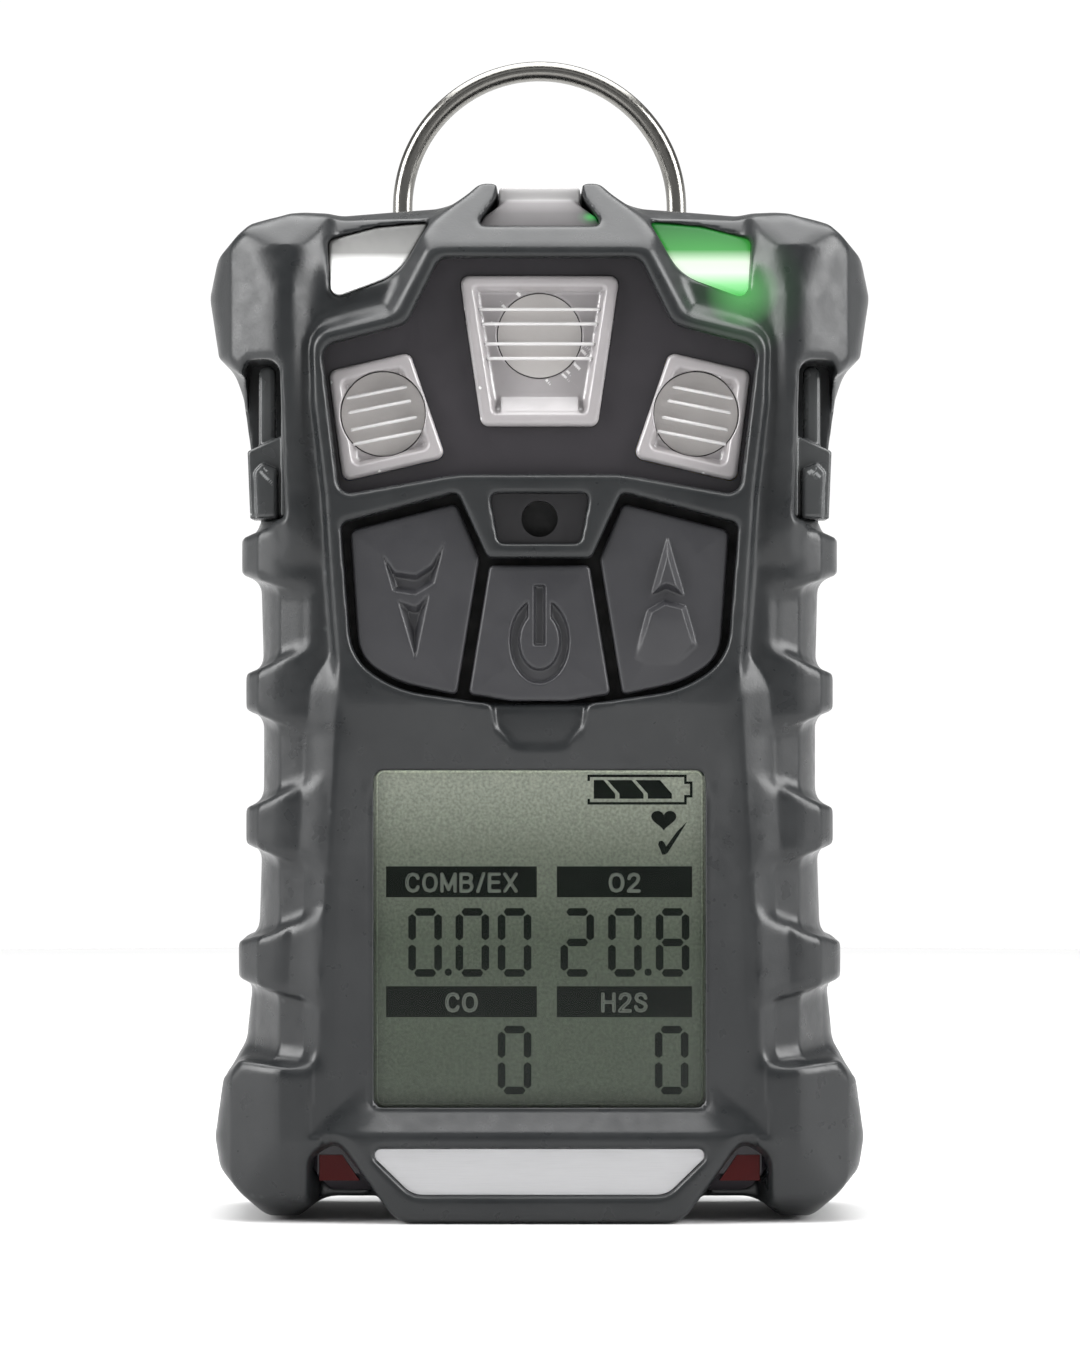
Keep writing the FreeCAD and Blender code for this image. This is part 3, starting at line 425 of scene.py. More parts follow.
def make_beacons(step):
    """Shoulder lenses: flush with the rubber round them."""
    lenses = []
    for name, side in FLANKS.items():
        block = flank_block(side, (11.0, -16.5, 99.5), (24.5, -2.0, 112.5), step)
        body = core_field(block) + 0.25
        lens = meet(body, block.front(handed(BEACON, side)) + 0.06, 0.35)
        lens = meet(lens, -(body + 2.2), 0.2)
        lenses.append(carve("shoulder_lens_" + name, block, np.maximum(lens, block.y + 6.0)))
    return lenses


# ---- keys --------------------------------------------------------------------
KEY_OUTER = [
    (20.8, 76.0, 0.8), (9.1, 79.0, 0.8), (6.6, 73.0, 0.6), (9.1, 57.9, 0.6), (15.8, 59.4, 12.0),
    (19.8, 62.0, 4.5),
]
KEY_POWER = both_sides([(5.5, 72.2, 0.6), (7.8, 58.0, 0.6), (3.0, 57.3, 5.0)])
DOWN_CHEVRON = [
    (-17.3, 73.6), (-16.1, 69.3), (-13.6, 68.9), (-11.5, 70.2), (-10.3, 75.0), (-11.9, 72.3),
    (-13.6, 71.2), (-15.8, 71.5),
]
DOWN_POINT = [(-15.6, 68.4), (-13.6, 67.7), (-12.0, 69.2), (-13.6, 61.6)]
UP_POINT = [(14.0, 75.4), (15.9, 68.8), (13.9, 69.6), (12.2, 68.9)]
UP_WINGS = [
    (13.7, 68.4), (16.0, 67.8), (17.3, 63.4), (15.2, 61.2), (12.0, 61.0), (10.3, 62.0), (11.8, 67.3),
]
KEY_FACE = 15.05        # how far the keys stand out from the seam
CROWN = 0.22            # rise of a key's face in its middle


def key_body(block, outline, relief):
    """Key cap and skirt with a crowned face."""
    edge = block.front(outline)
    crown = CROWN * ramp(-edge, 0.0, 4.5)
    cap = meet(edge, -block.y - (KEY_FACE - CROWN + crown + relief), 0.55)
    return np.maximum(cap, block.y + 12.3)


def chiselled(block, outline, slope, limit):
    """Height of a shape whose sides rise evenly from its outline to a flat."""
    return np.minimum(np.maximum(-block.front(outline), 0.0) * slope, limit)


def make_keys(step):
    """The three key caps: raised arrows, and a sunk power mark."""
    low, high = (-21.5, -16.2, 57.0), (-6.0, -11.8, 79.8)
    block = Block(low, high, step)
    relief = -chiselled(block, DOWN_CHEVRON, 1.5, 0.9) - chiselled(block, DOWN_POINT, 1.3, 0.95)
    down = carve("key_cap_down", block, key_body(block, handed(KEY_OUTER, -1), relief))
    block = Block((6.0, low[1], low[2]), (21.5, high[1], high[2]), step)
    wings = chiselled(block, UP_WINGS, 1.8, 1.0) * ramp(block.z, 60.5, 67.0)
    relief = chiselled(block, UP_POINT, 1.7, 1.05) + wings
    up = carve("key_cap_up", block, key_body(block, KEY_OUTER, relief))
    block = Block((-8.4, -16.2, 56.4), (8.4, -11.8, 72.8), step)
    x, z = block.x, block.z
    oval = (np.sqrt((x / 3.24) ** 2 + ((z - 63.9) / 4.6) ** 2) - 0.84) * 3.6
    ring = np.maximum(np.abs(oval) - 0.62, -np.maximum(np.abs(x) - 1.25, 64.5 - z))
    bar = np.maximum(np.abs(x) - 0.62, np.abs(z - 66.7) - 3.3)
    relief = -0.6 * (1 - ramp(np.minimum(ring, bar), -0.2, 0.1))
    power = carve("key_cap_power", block, key_body(block, KEY_POWER, relief))
    return {"button_down": down, "button_up": up, "button_power": power}


# ---- sensor windows ----------------------------------------------------------
CENTER_WINDOW = both_sides([(8.9, 104.1, 1.0), (6.45, 87.4, 1.0)])
CENTER_POCKET = both_sides([(7.4, 102.9, 0.5), (5.2, 88.8, 0.5)])
SIDE_WINDOW = [(23.3, 93.6, 1.0), (14.2, 95.7, 1.0), (10.2, 84.0, 1.0), (21.7, 81.3, 1.0)]
SIDE_POCKET = [(21.9, 92.5, 0.8), (15.0, 94.1, 0.8), (11.9, 85.0, 0.8), (20.5, 83.0, 0.8)]
FILTER_R = 4.6
PORTS = {"center": (0.0, 97.5), "left": (-17.2, 88.9), "right": (17.2, 88.9)}
LEAN = {"center": 0.0, "left": 11.0, "right": -11.0}
GUARD_FACE = 14.0       # how far the guards stand out from the seam
VANE_HALF = 0.8         # from a louvre's middle to each of its two rails


def window_shapes(side):
    """Outline, pocket and louvre heights of one guard."""
    if side == "center":
        return CENTER_WINDOW, CENTER_POCKET, (2.05, -1.75)
    return handed(SIDE_WINDOW, FLANKS[side]), handed(SIDE_POCKET, FLANKS[side]), (1.6, -1.9)


def window_block(outline, step):
    """Grid round one guard."""
    spare = 0.6
    xs, zs = [p[0] for p in outline], [p[1] for p in outline]
    low = (min(xs) - spare, -14.6, min(zs) - spare)
    return Block(low, (max(xs) + spare, -11.0, max(zs) + spare), step)


def make_window(side, step):
    """Clear guard: bevelled frame and a sunk pocket with a round port."""
    outline, pocket, _ = window_shapes(side)
    block = window_block(outline, step)
    x, z = PORTS[side]
    draft = block.front(outline) + 0.06 + 0.25 * np.maximum(-block.y - 13.4, 0.0)
    body = np.maximum(meet(draft, -block.y - GUARD_FACE, 0.5), block.y + 11.45)
    draft = block.front(pocket) + 0.35 * (block.y + GUARD_FACE)
    body = cut(body, np.maximum(draft, block.y + 12.2), 0.3)
    body = cut(body, np.sqrt((block.x - x) ** 2 + (block.z - z) ** 2) - FILTER_R - 0.1, 0.15)
    if side == "center":
        sill = block.side([
            (-13.7, 88.0), (-13.7, 89.0, 0.3), (-12.1, 91.1, 0.2), (-11.9, 91.3), (-11.9, 88.0),
        ])
        body = join(body, np.maximum(sill, np.abs(block.x) - 4.3), 0.25)
    return carve("sensor_guard_" + side, block, body, faces=60000)


def make_vanes(side, step):
    """Thin pale rails across a guard's pocket, two at each louvre height: painted highlights for the lit
    edges of clear louvres.
    """
    outline, pocket, heights = window_shapes(side)
    block = window_block(outline, step)
    x, z = PORTS[side]
    turn = math.radians(LEAN[side])
    up = (block.z - z) * math.cos(turn) - (block.x - x) * math.sin(turn)
    inside = np.maximum(block.front(pocket) + 0.3 * (block.y + GUARD_FACE) + 0.1, block.y + 12.3)
    rails = np.full(up.shape, 9.0)
    for height in heights:
        for edge in (-VANE_HALF, VANE_HALF):
            rails = np.minimum(rails, np.hypot(up - height - edge, 0.7 * (block.y + 13.1)) - 0.2)
    return carve("sensor_vanes_" + side, block, np.maximum(rails, inside), faces=30000)


def make_top_window(step):
    """Clear block between the peaks: an upright back part and a sloping front."""
    block = Block((-7.6, -11.6, 106.8), (7.6, 5.6, 114.8), step)
    back = np.maximum(np.abs(block.x) - 4.5, np.maximum(-7.2 - block.y, block.y - 4.9))
    back = meet(back, np.abs(block.z - 110.75) - 3.6, 0.6)
    slope = block.side([(-11.0, 109.7), (-7.4, 112.8), (-6.6, 112.8), (-6.6, 107.2), (-10.2, 107.2)])
    wedge = block.front(both_sides([(3.1, 113.4), (6.2, 110.9), (7.0, 109.4), (6.6, 107.0)]))
    front = meet(slope, wedge + 0.1, 0.3)
    return carve("top_lens", block, join(back, front, 0.3), faces=60000)


CATCH_POST = [(29.2, 83.5), (31.1, 83.5), (31.1, 94.4, 0.9), (29.2, 94.4, 0.9)]
CATCH_FOOT = [(28.0, 77.45), (32.0, 77.45), (32.3, 84.9, 0.4), (28.0, 86.9, 0.4)]
CATCH_PAD = [(28.9, 77.45), (31.3, 77.45), (31.5, 82.6, 0.6), (30.6, 83.6, 0.4), (28.9, 82.9, 0.4)]


def make_catches(step):
    """Catches in the flank pockets: foot, pad and upright post, with a seat on their inner side."""
    catches = []
    for name, side in FLANKS.items():
        block = flank_block(side, (26.5, -12.0, 77.2), (32.6, 1.2, 95.0), step)
        post, foot, pad = (handed(p, side) for p in (CATCH_POST, CATCH_FOOT, CATCH_PAD))
        shape = meet(block.front(foot), np.abs(block.y + 5.2) - 4.6, 0.5)
        shape = join(shape, meet(block.front(pad), np.abs(block.y + 7.0) - 4.2, 0.5), 0.2)
        shape = join(shape, meet(block.front(post), np.abs(block.y + 7.2) - 1.1, 0.7), 0.3)
        shape = np.maximum(shape, 28.35 - np.abs(block.x))
        seat = np.maximum(np.abs(block.x) - 28.5, 26.75 - np.abs(block.x))
        seat = np.maximum(seat, np.maximum(np.abs(block.y + 7.2) - 4.1, np.abs(block.z - 85.4) - 7.7))
        catches.append(carve("flank_catch_" + name, block, np.minimum(shape, seat)))
    return catches


# ---- display -----------------------------------------------------------------
INK_Y = -11.95          # front of the display cell, where its segments lie
CELL_BACK_Y = -9.95     # back of the display cell
INK_DEPTH = 0.05


def flat_piece(name, outlines):
    """Thin solid on the display cell, from outlines seen from the front."""
    mesh = bpy.data.meshes.new(name)
    shape = bmesh.new()
    for outline in outlines:
        front = [shape.verts.new((x * MM, (INK_Y - INK_DEPTH) * MM, z * MM)) for x, z in outline]
        back = [shape.verts.new((x * MM, INK_Y * MM, z * MM)) for x, z in outline]
        shape.faces.new(front)
        shape.faces.new(back[::-1])
        for i in range(len(outline)):
            j = (i + 1) % len(outline)
            shape.faces.new((front[j], front[i], back[i], back[j]))
    bmesh.ops.recalc_face_normals(shape, faces=shape.faces)
    shape.to_mesh(mesh)
    shape.free()
    return linked(name, mesh)


SEGMENTS = {"0": "abcdef", "2": "abged", "8": "abcdefg"}      # strokes of each figure shown
DIGIT_WIDTH, DIGIT_HEIGHT, STROKE = 3.7, 7.55, 0.84


def bar_segment(ax, az, bx, bz):
    """Six-sided stroke between two points, pointed at both ends."""
    length = math.hypot(bx - ax, bz - az)
    ux, uz = (bx - ax) / length, (bz - az) / length
    gap, point, half = 0.22, 0.30, STROKE / 2
    corners = []
    for along, off in (
        (gap, 0.0), (gap + point, half), (length - gap - point, half), (length - gap, 0.0),
        (length - gap - point, -half), (gap + point, -half),
    ):
        corners.append((ax + ux * along - uz * off, az + uz * along + ux * off))
    return corners


def digit(value, left, bottom):
    """Strokes of a seven-segment figure."""
    x0, x1 = left + STROKE / 2, left + DIGIT_WIDTH - STROKE / 2
    z0, z2 = bottom + STROKE / 2, bottom + DIGIT_HEIGHT - STROKE / 2
    z1 = (z0 + z2) / 2
    places = {
        "a": (x0, z2, x1, z2), "b": (x1, z1, x1, z2), "c": (x1, z0, x1, z1), "d": (x0, z0, x1, z0),
        "e": (x0, z0, x0, z1), "f": (x0, z1, x0, z2), "g": (x0, z1, x1, z1),
    }
    return [bar_segment(*places[name]) for name in SEGMENTS[value]]


def rectangle(x0, x1, z0, z1):
    """Upright rectangle seen from the front."""
    return [(x0, z0), (x1, z0), (x1, z1), (x0, z1)]


def disc(x, z, radius, count):
    """Round outline with that many corners."""
    turns = [2 * math.pi * i / count for i in range(count)]
    return [(x + radius * math.cos(turn), z + radius * math.sin(turn)) for turn in turns]


def make_readings():
    """The four readings in seven-segment figures, two of them with a decimal point."""
    upper, lower = 26.95, 14.0
    rows = {
        "reading_combustible": [("0", -14.45, upper), ("0", -9.25, upper), ("0", -4.6, upper)],
        "reading_oxygen": [("2", 2.3, upper), ("0", 7.55, upper), ("8", 12.8, upper)],
        "reading_carbon_monoxide": [("0", -4.6, lower)],
        "reading_sulphide": [("0", 12.7, lower)],
    }
    points = {"reading_combustible": (-10.05, upper + 0.5), "reading_oxygen": (11.95, upper + 0.5)}
    pieces = []
    for name, figures in rows.items():
        outlines = [stroke for figure in figures for stroke in digit(*figure)]
        if name in points:
            outlines.append(disc(*points[name], 0.42, 8))
        pieces.append(flat_piece(name, outlines))
    return pieces


HEADERS = {
    "header_combustible": ((-16.9, -0.3), (35.7, 39.1), "COMB/EX"),
    "header_oxygen": ((1.9, 16.8), (35.7, 39.1), "O2"),
    "header_carbon_monoxide": ((-16.9, -0.3), (22.5, 25.9), "CO"),
    "header_sulphide": ((1.9, 16.8), (22.5, 25.9), "H2S"),
}
# Each letter's width, and its strokes as runs of points, in heights of a capital.
GLYPHS = {
    "C": (0.66, [[(0.66, 0.76), (0.58, 0.93), (0.36, 1), (0.14, 0.92), (0.03, 0.72), (0, 0.5),
                  (0.03, 0.28), (0.14, 0.08), (0.36, 0), (0.58, 0.07), (0.66, 0.24)]]),
    "O": (0.74, [[(0.36, 1), (0.6, 0.92), (0.71, 0.72), (0.74, 0.5), (0.71, 0.28), (0.6, 0.08),
                  (0.36, 0), (0.13, 0.08), (0.03, 0.28), (0, 0.5), (0.03, 0.72), (0.13, 0.92),
                  (0.36, 1)]]),
    "M": (0.78, [[(0, 0), (0, 1), (0.39, 0.1), (0.78, 1), (0.78, 0)]]),
    "B": (0.66, [[(0, 0), (0, 1), (0.44, 1), (0.6, 0.9), (0.62, 0.77), (0.57, 0.62),
                  (0.42, 0.53), (0, 0.53)],
                 [(0.42, 0.53), (0.6, 0.45), (0.66, 0.27), (0.6, 0.1), (0.44, 0), (0, 0)]]),
    "/": (0.34, [[(0, -0.02), (0.34, 1.02)]]),
    "E": (0.58, [[(0.58, 1), (0, 1), (0, 0), (0.6, 0)], [(0, 0.52), (0.54, 0.52)]]),
    "X": (0.66, [[(0, 1), (0.66, 0)], [(0, 0), (0.66, 1)]]),
    "H": (0.66, [[(0, 0), (0, 1)], [(0.66, 0), (0.66, 1)], [(0, 0.52), (0.66, 0.52)]]),
    "S": (0.62, [[(0.6, 0.76), (0.5, 0.94), (0.3, 1), (0.1, 0.93), (0.03, 0.76), (0.12, 0.6),
                  (0.32, 0.52), (0.54, 0.42), (0.62, 0.26), (0.52, 0.07), (0.3, 0), (0.08, 0.07),
                  (0, 0.24)]]),
    "2": (0.6, [[(0.03, 0.74), (0.1, 0.92), (0.32, 1), (0.54, 0.92), (0.6, 0.74), (0.5, 0.52),
                 (0.12, 0.16), (0, 0), (0.62, 0)]]),
}
CAP_HEIGHT, LETTER_GAP, LETTER_STROKE = 1.85, 0.64, 0.2


def lettering(name, words, middle, bottom, step):
    """Raised letters drawn as rounded strokes, centred on a point."""
    widths = [GLYPHS[letter][0] * CAP_HEIGHT for letter in words]
    total = sum(widths) + LETTER_GAP * (len(words) - 1)
    left = middle - total / 2
    front = INK_Y - INK_DEPTH
    block = Block((left - 1.0, front - 0.3, bottom - 1.0),
                  (left + total + 1.0, front + 0.3, bottom + CAP_HEIGHT + 1.0), step)
    field = np.full((len(block.axes[0]), 1, len(block.axes[2])), 9.0)
    for letter, width in zip(words, widths):
        for path in GLYPHS[letter][1]:
            for (ax, az), (bx, bz) in zip(path, path[1:]):
                field = np.minimum(field, block.stroke(
                    left + ax * CAP_HEIGHT, bottom + az * CAP_HEIGHT,
                    left + bx * CAP_HEIGHT, bottom + bz * CAP_HEIGHT) - LETTER_STROKE)
        left += width + LETTER_GAP
    return carve(name, block, np.maximum(field, np.abs(block.y - front) - 0.1))


def make_headers(step):
    """Dark bars over the readings, and the gas symbols left light in them."""
    bars, labels = [], []
    for name, ((x0, x1), (z0, z1), words) in HEADERS.items():
        bars.append(flat_piece(name, [rectangle(x0, x1, z0, z1)]))
        labels.append(lettering(name + "_symbol", words, (x0 + x1) / 2, z0 + 0.7, step))
    return bars, labels


def make_display(step):
    """The display cell filling the window, and the pale line of light round its edge."""
    block = Block((-19.2, -12.4, 11.6), (19.2, -9.2, 50.3), 2 * step)
    depth = np.maximum(INK_Y - block.y, block.y - CELL_BACK_Y)
    cell = meet(block.front(DISPLAY) + 0.06, depth, 0.1)
    cell = carve("display_face", block, cell, faces=20000)
    block = Block((-18.6, INK_Y - 0.3, 12.2), (18.6, INK_Y + 0.3, 50.2), step)
    ring = np.abs(block.front(DISPLAY_LIP) + 0.12) - 0.13
    ring = np.maximum(ring, np.abs(block.y - INK_Y) - 0.12)
    return cell, carve("display_edge", block, ring, faces=30000)


def make_icons():
    """Battery gauge, heart and tick."""
    left, right, low, high, line = 5.28, 16.2, 45.9, 49.2, 0.28
    nub, nub_low, nub_high = 16.84, 46.68, 48.45
    gauge = [
        rectangle(left, right, high - line, high), rectangle(left, right, low, low + line),
        rectangle(left, left + line, high - 0.7, high - line),
        rectangle(left, left + line, low + line, low + 0.65),
        rectangle(right - line, right, nub_high - line, high - line),
        rectangle(right - line, right, low + line, nub_low + line),
        rectangle(right, nub, nub_high - line, nub_high), rectangle(right, nub, nub_low, nub_low + line),
        rectangle(nub - line, nub, nub_low + line, nub_high - line),
        [(5.97, 48.6), (7.05, 48.6), (8.33, 47.1), (8.33, 46.55), (5.97, 46.55)],
    ]
    for shift in (0.0, 3.12):
        gauge.append([
            (shift + 7.45, 48.6), (shift + 10.15, 48.6), (shift + 11.45, 47.1), (shift + 11.45, 46.55),
            (shift + 8.8, 46.55), (shift + 8.8, 47.1),
        ])
    battery = flat_piece("icon_battery", gauge)
    heart = []
    for i in range(32):
        a = 2 * math.pi * i / 32
        x = 16 * math.sin(a) ** 3
        z = 13 * math.cos(a) - 5 * math.cos(2 * a) - 2 * math.cos(3 * a) - math.cos(4 * a)
        heart.append((13.68 + x * 0.087, 44.3 + z * 0.077))
    heart = flat_piece("icon_heart", [heart])
    tick = flat_piece("icon_tick", [[
        (13.05, 41.5), (13.15, 41.85), (13.5, 41.95), (13.75, 41.7), (13.95, 41.3), (15.1, 42.9),
        (16.27, 44.05), (15.2, 42.3), (14.1, 40.6), (13.85, 40.4), (13.5, 40.4),
    ]])
    return [battery, heart, tick]


# ---- materials ---------------------------------------------------------------
def plain(name, colour, roughness, **sockets):
    """Principled material with constant settings."""
    made = bpy.data.materials.new(name)
    made.use_nodes = True
    shader = made.node_tree.nodes["Principled BSDF"]
    shader.inputs["Base Color"].default_value = (*colour, 1.0)
    shader.inputs["Roughness"].default_value = roughness
    for socket, value in sockets.items():
        shader.inputs[socket.replace("_", " ")].default_value = value
    return made


def feed(made, socket, value):
    """Sets a socket to a constant, or links another node's output to it."""
    if isinstance(value, bpy.types.NodeSocket):
        made.node_tree.links.new(value, socket)
    else:
        socket.default_value = value


def node(made, kind, inputs=None, **settings):
    """New shader node with its settings, and with its inputs fed by name or number."""
    new = made.node_tree.nodes.new(kind)
    for name, value in settings.items():
        setattr(new, name, value)
    for socket, value in (inputs or {}).items():
        feed(made, new.inputs[socket], value)
    return new


def shader_input(made, socket, value):
    """Feeds a socket of the material's main shader."""
    feed(made, made.node_tree.nodes["Principled BSDF"].inputs[socket], value)


def own_place(made):
    """Coordinates that stay with the object."""
    return node(made, "ShaderNodeTexCoord").outputs["Object"]


def noise(made, scale, detail, stretch=(1.0, 1.0, 1.0)):
    """Noise over the object's own coordinates, scale in features per millimetre."""
    mapping = node(made, "ShaderNodeMapping", {
        "Vector": own_place(made), "Scale": tuple(scale / MM * s for s in stretch),
    })
    texture = node(made, "ShaderNodeTexNoise", {
        "Vector": mapping.outputs["Vector"], "Scale": 1.0, "Detail": detail,
    })
    return texture.outputs["Fac"]


def spread(made, value, low, high, from_low=0.3, from_high=0.7):
    """Maps one range of a value onto another. Noise lies mostly between 0.3 and 0.7."""
    mapped = node(made, "ShaderNodeMapRange", {
        "Value": value, "From Min": from_low, "From Max": from_high, "To Min": low, "To Max": high,
    })
    return mapped.outputs["Result"]


def mix_colours(made, factor, first, second, blend="MIX"):
    """Mix of two colours. The node's sockets share their names, so they go by number."""
    inputs = {0: factor, 6: first, 7: second}
    return node(made, "ShaderNodeMix", inputs, data_type="RGBA", blend_type=blend).outputs[2]


def tone(made, factor, dark, light):
    """Colour between two tones."""
    return mix_colours(made, factor, (*dark, 1.0), (*light, 1.0))


def bump(made, height, strength, distance):
    """Normal of a surface with fine relief, its depth in millimetres."""
    relief = node(made, "ShaderNodeBump", {
        "Height": height, "Strength": strength, "Distance": distance * MM,
    })
    return relief.outputs["Normal"]


def moulded(name, dark, light, rough_low, rough_high, grain, strength, **sockets):
    """Moulded plastic or rubber: cloudy tone, uneven gloss and a fine spark-eroded grain."""
    made = plain(name, dark, rough_low, **sockets)
    clouds = spread(made, noise(made, 0.09, 4.0), 0.0, 1.0)
    shader_input(made, "Base Color", tone(made, clouds, dark, light))
    shader_input(made, "Roughness", spread(made, noise(made, 0.5, 2.0), rough_low, rough_high))
    shader_input(made, "Normal", bump(made, noise(made, grain, 2.0), strength, 0.05))
    return made


def brushed(name, colour, roughness, stretch, scale):
    """Metal with fine lines along one axis."""
    made = plain(name, colour, roughness, Metallic=1.0)
    lines = noise(made, scale, 3.0, stretch)
    shader_input(made, "Roughness", spread(made, lines, roughness * 0.75, roughness * 1.3))
    shader_input(made, "Normal", bump(made, lines, 0.25, 0.02))
    return made


def height_share(made, low, high):
    """0 at one height and 1 at another, in millimetres."""
    split = node(made, "ShaderNodeSeparateXYZ", {"Vector": own_place(made)})
    return spread(made, split.outputs["Z"], 0.0, 1.0, low * MM, high * MM)


def colour_ramp(made, factor, stops):
    """Colour looked up along a row of stops."""
    scale = node(made, "ShaderNodeValToRGB", {"Fac": factor})
    elements = scale.color_ramp.elements
    for i in (0, -1):
        elements[i].position = stops[i][0]
        elements[i].color = (*stops[i][1], 1.0)
    for position, colour in stops[1:-1]:
        elements.new(position).color = (*colour, 1.0)
    return scale.outputs["Color"]


def display_cell(name, gain):
    """Reflective display background: pale at the top, olive below, with a sparkling grain."""
    made = plain(name, (0.12, 0.14, 0.10), 0.5)
    shade = colour_ramp(made, height_share(made, 12.0, 50.0), (
        (0.0, (0.060, 0.072, 0.048)), (0.08, (0.088, 0.108, 0.076)), (0.50, (0.105, 0.128, 0.090)),
        (0.75, (0.22, 0.24, 0.19)), (1.0, (0.52, 0.54, 0.46)),
    ))
    grain = spread(made, noise(made, 3.0, 2.0), 0.0, 1.0)
    grey = tone(made, grain, (0.74 * gain,) * 3, (1.22 * gain,) * 3)
    shader_input(made, "Base Color", mix_colours(made, 1.0, shade, grey, "MULTIPLY"))
    return made


def window_glass():
    """Thin clear window: see-through, with a gloss that grows at a slant."""
    made = bpy.data.materials.new("window_glass")
    made.use_nodes = True
    nodes = made.node_tree.nodes
    nodes.remove(nodes["Principled BSDF"])
    clear = node(made, "ShaderNodeBsdfTransparent", {"Color": (0.97, 0.98, 0.97, 1.0)})
    gloss = node(made, "ShaderNodeBsdfGlossy", {"Roughness": 0.06})
    fresnel = node(made, "ShaderNodeFresnel", {"IOR": 1.2})
    mix = node(made, "ShaderNodeMixShader", {
        0: fresnel.outputs["Fac"], 1: clear.outputs["BSDF"], 2: gloss.outputs["BSDF"],
    })
    feed(made, nodes["Material Output"].inputs["Surface"], mix.outputs["Shader"])
    return made


def paint_edge_highlights(made, colour, low, high, most):
    """Painted highlight: blends the base colour towards another, the more the sharper an outer edge is.
    """
    shader = made.node_tree.nodes["Principled BSDF"]
    base = shader.inputs["Base Color"].links[0].from_socket
    sharpness = node(made, "ShaderNodeNewGeometry").outputs["Pointiness"]
    share = spread(made, sharpness, 0.0, most, low, high)
    shader_input(made, "Base Color", mix_colours(made, share, base, (*colour, 1.0)))
    return made


def spill_light(made, centre, inner, outer, stops):
    """Light from a lit lens nearby, fading with distance from a point, in millimetres."""
    away = node(made, "ShaderNodeVectorMath", {
        0: own_place(made), 1: tuple(c * MM for c in centre),
    }, operation="DISTANCE")
    share = spread(made, away.outputs["Value"], 1.0, 0.0, inner * MM, outer * MM)
    shader_input(made, "Emission Color", colour_ramp(made, share, stops))
    shader_input(made, "Emission Strength", 1.0)


def top_lens():
    """Smoky clear block with painted shade low down, painted light along its upper edge, and a painted
    green glint from a lit lens.
    """
    made = plain("top_lens", (0.2, 0.2, 0.2), 0.3, Specular_IOR_Level=0.08)
    shade = colour_ramp(made, height_share(made, 108.5, 114.5), (
        (0.0, (0.030, 0.028, 0.029)), (0.45, (0.10, 0.096, 0.098)), (0.66, (0.20, 0.192, 0.195)),
        (0.74, (0.36, 0.355, 0.355)), (1.0, (0.40, 0.39, 0.39)),
    ))
    shader_input(made, "Base Color", shade)
    shader_input(made, "Roughness", spread(made, noise(made, 0.8, 2.0), 0.34, 0.48))
    spill_light(made, (5.6, -9.6, 110.6), 0.2, 1.6, (
        (0.0, (0.0, 0.0, 0.0)), (0.5, (0.0, 0.06, 0.01)), (1.0, (0.01, 0.40, 0.05)),
    ))
    return made


LENS_HEIGHTS = (101.4, 110.2)     # lower and upper end of the shoulder lenses' shading


def lit_lens():
    """Alarm lens lit green from behind, with a white-hot band where the light sits."""
    made = plain("lens_green_lit", (0.004, 0.05, 0.01), 0.45, Specular_IOR_Level=0.25)
    glow = colour_ramp(made, height_share(made, *LENS_HEIGHTS), (
        (0.0, (0.04, 0.50, 0.06)), (0.18, (0.30, 0.80, 0.32)), (0.34, (0.90, 1.0, 0.88)),
        (0.48, (0.85, 0.98, 0.80)), (0.64, (0.05, 0.30, 0.05)), (1.0, (0.004, 0.08, 0.010)),
    ))
    shader_input(made, "Emission Color", glow)
    shader_input(made, "Emission Strength", 1.0)
    return made


def silver_lens():
    """Unlit alarm lens over a silvered reflector, its bright band and dark upper part a painted
    reflection set by height.
    """
    made = plain("lens_silver", (0.5, 0.5, 0.48), 0.4, Metallic=0.2)
    shade = colour_ramp(made, height_share(made, *LENS_HEIGHTS), (
        (0.0, (0.85, 0.85, 0.84)), (0.22, (0.97, 0.98, 0.98)), (0.42, (0.85, 0.85, 0.84)),
        (0.60, (0.16, 0.16, 0.155)), (1.0, (0.07, 0.07, 0.068)),
    ))
    shader_input(made, "Base Color", shade)
    shader_input(made, "Roughness", spread(made, noise(made, 1.2, 3.0), 0.30, 0.50))
    return made


def boot_rubber():
    """Slightly glossy rubber, a little paler on sharp edges as a painted highlight, with the lit lens's
    light spilling onto it as a painted glow.
    """
    made = moulded("boot_rubber", (0.010, 0.0112, 0.0122), (0.017, 0.0184, 0.0194), 0.26, 0.38,
                   3.0, 0.18, Specular_IOR_Level=0.42)
    paint_edge_highlights(made, (0.10, 0.105, 0.108), 0.58, 0.72, 0.4)
    spill_light(made, (22.2, -15.0, 102.3), 1.0, 7.5, (
        (0.0, (0.0, 0.0, 0.0)), (0.5, (0.006, 0.030, 0.007)), (1.0, (0.10, 0.40, 0.11)),
    ))
    return made


def clear_plastic():
    """Clear plastic of the guards, whitish along their sharp edges as a painted highlight."""
    made = moulded("clear_plastic", (0.30, 0.285, 0.29), (0.40, 0.38, 0.385), 0.12, 0.26, 0.8, 0.12,
                   Transmission_Weight=0.15, IOR=1.46, Coat_Weight=0.5)
    return paint_edge_highlights(made, (0.92, 0.91, 0.91), 0.54, 0.60, 0.8)


def catch_plastic():
    """Dark plastic of the catches, grey along their sharp edges as a painted highlight."""
    made = moulded("catch_plastic", (0.035, 0.037, 0.038), (0.065, 0.068, 0.069), 0.18, 0.30, 0.8, 0.1)
    return paint_edge_highlights(made, (0.40, 0.41, 0.41), 0.53, 0.62, 0.6)


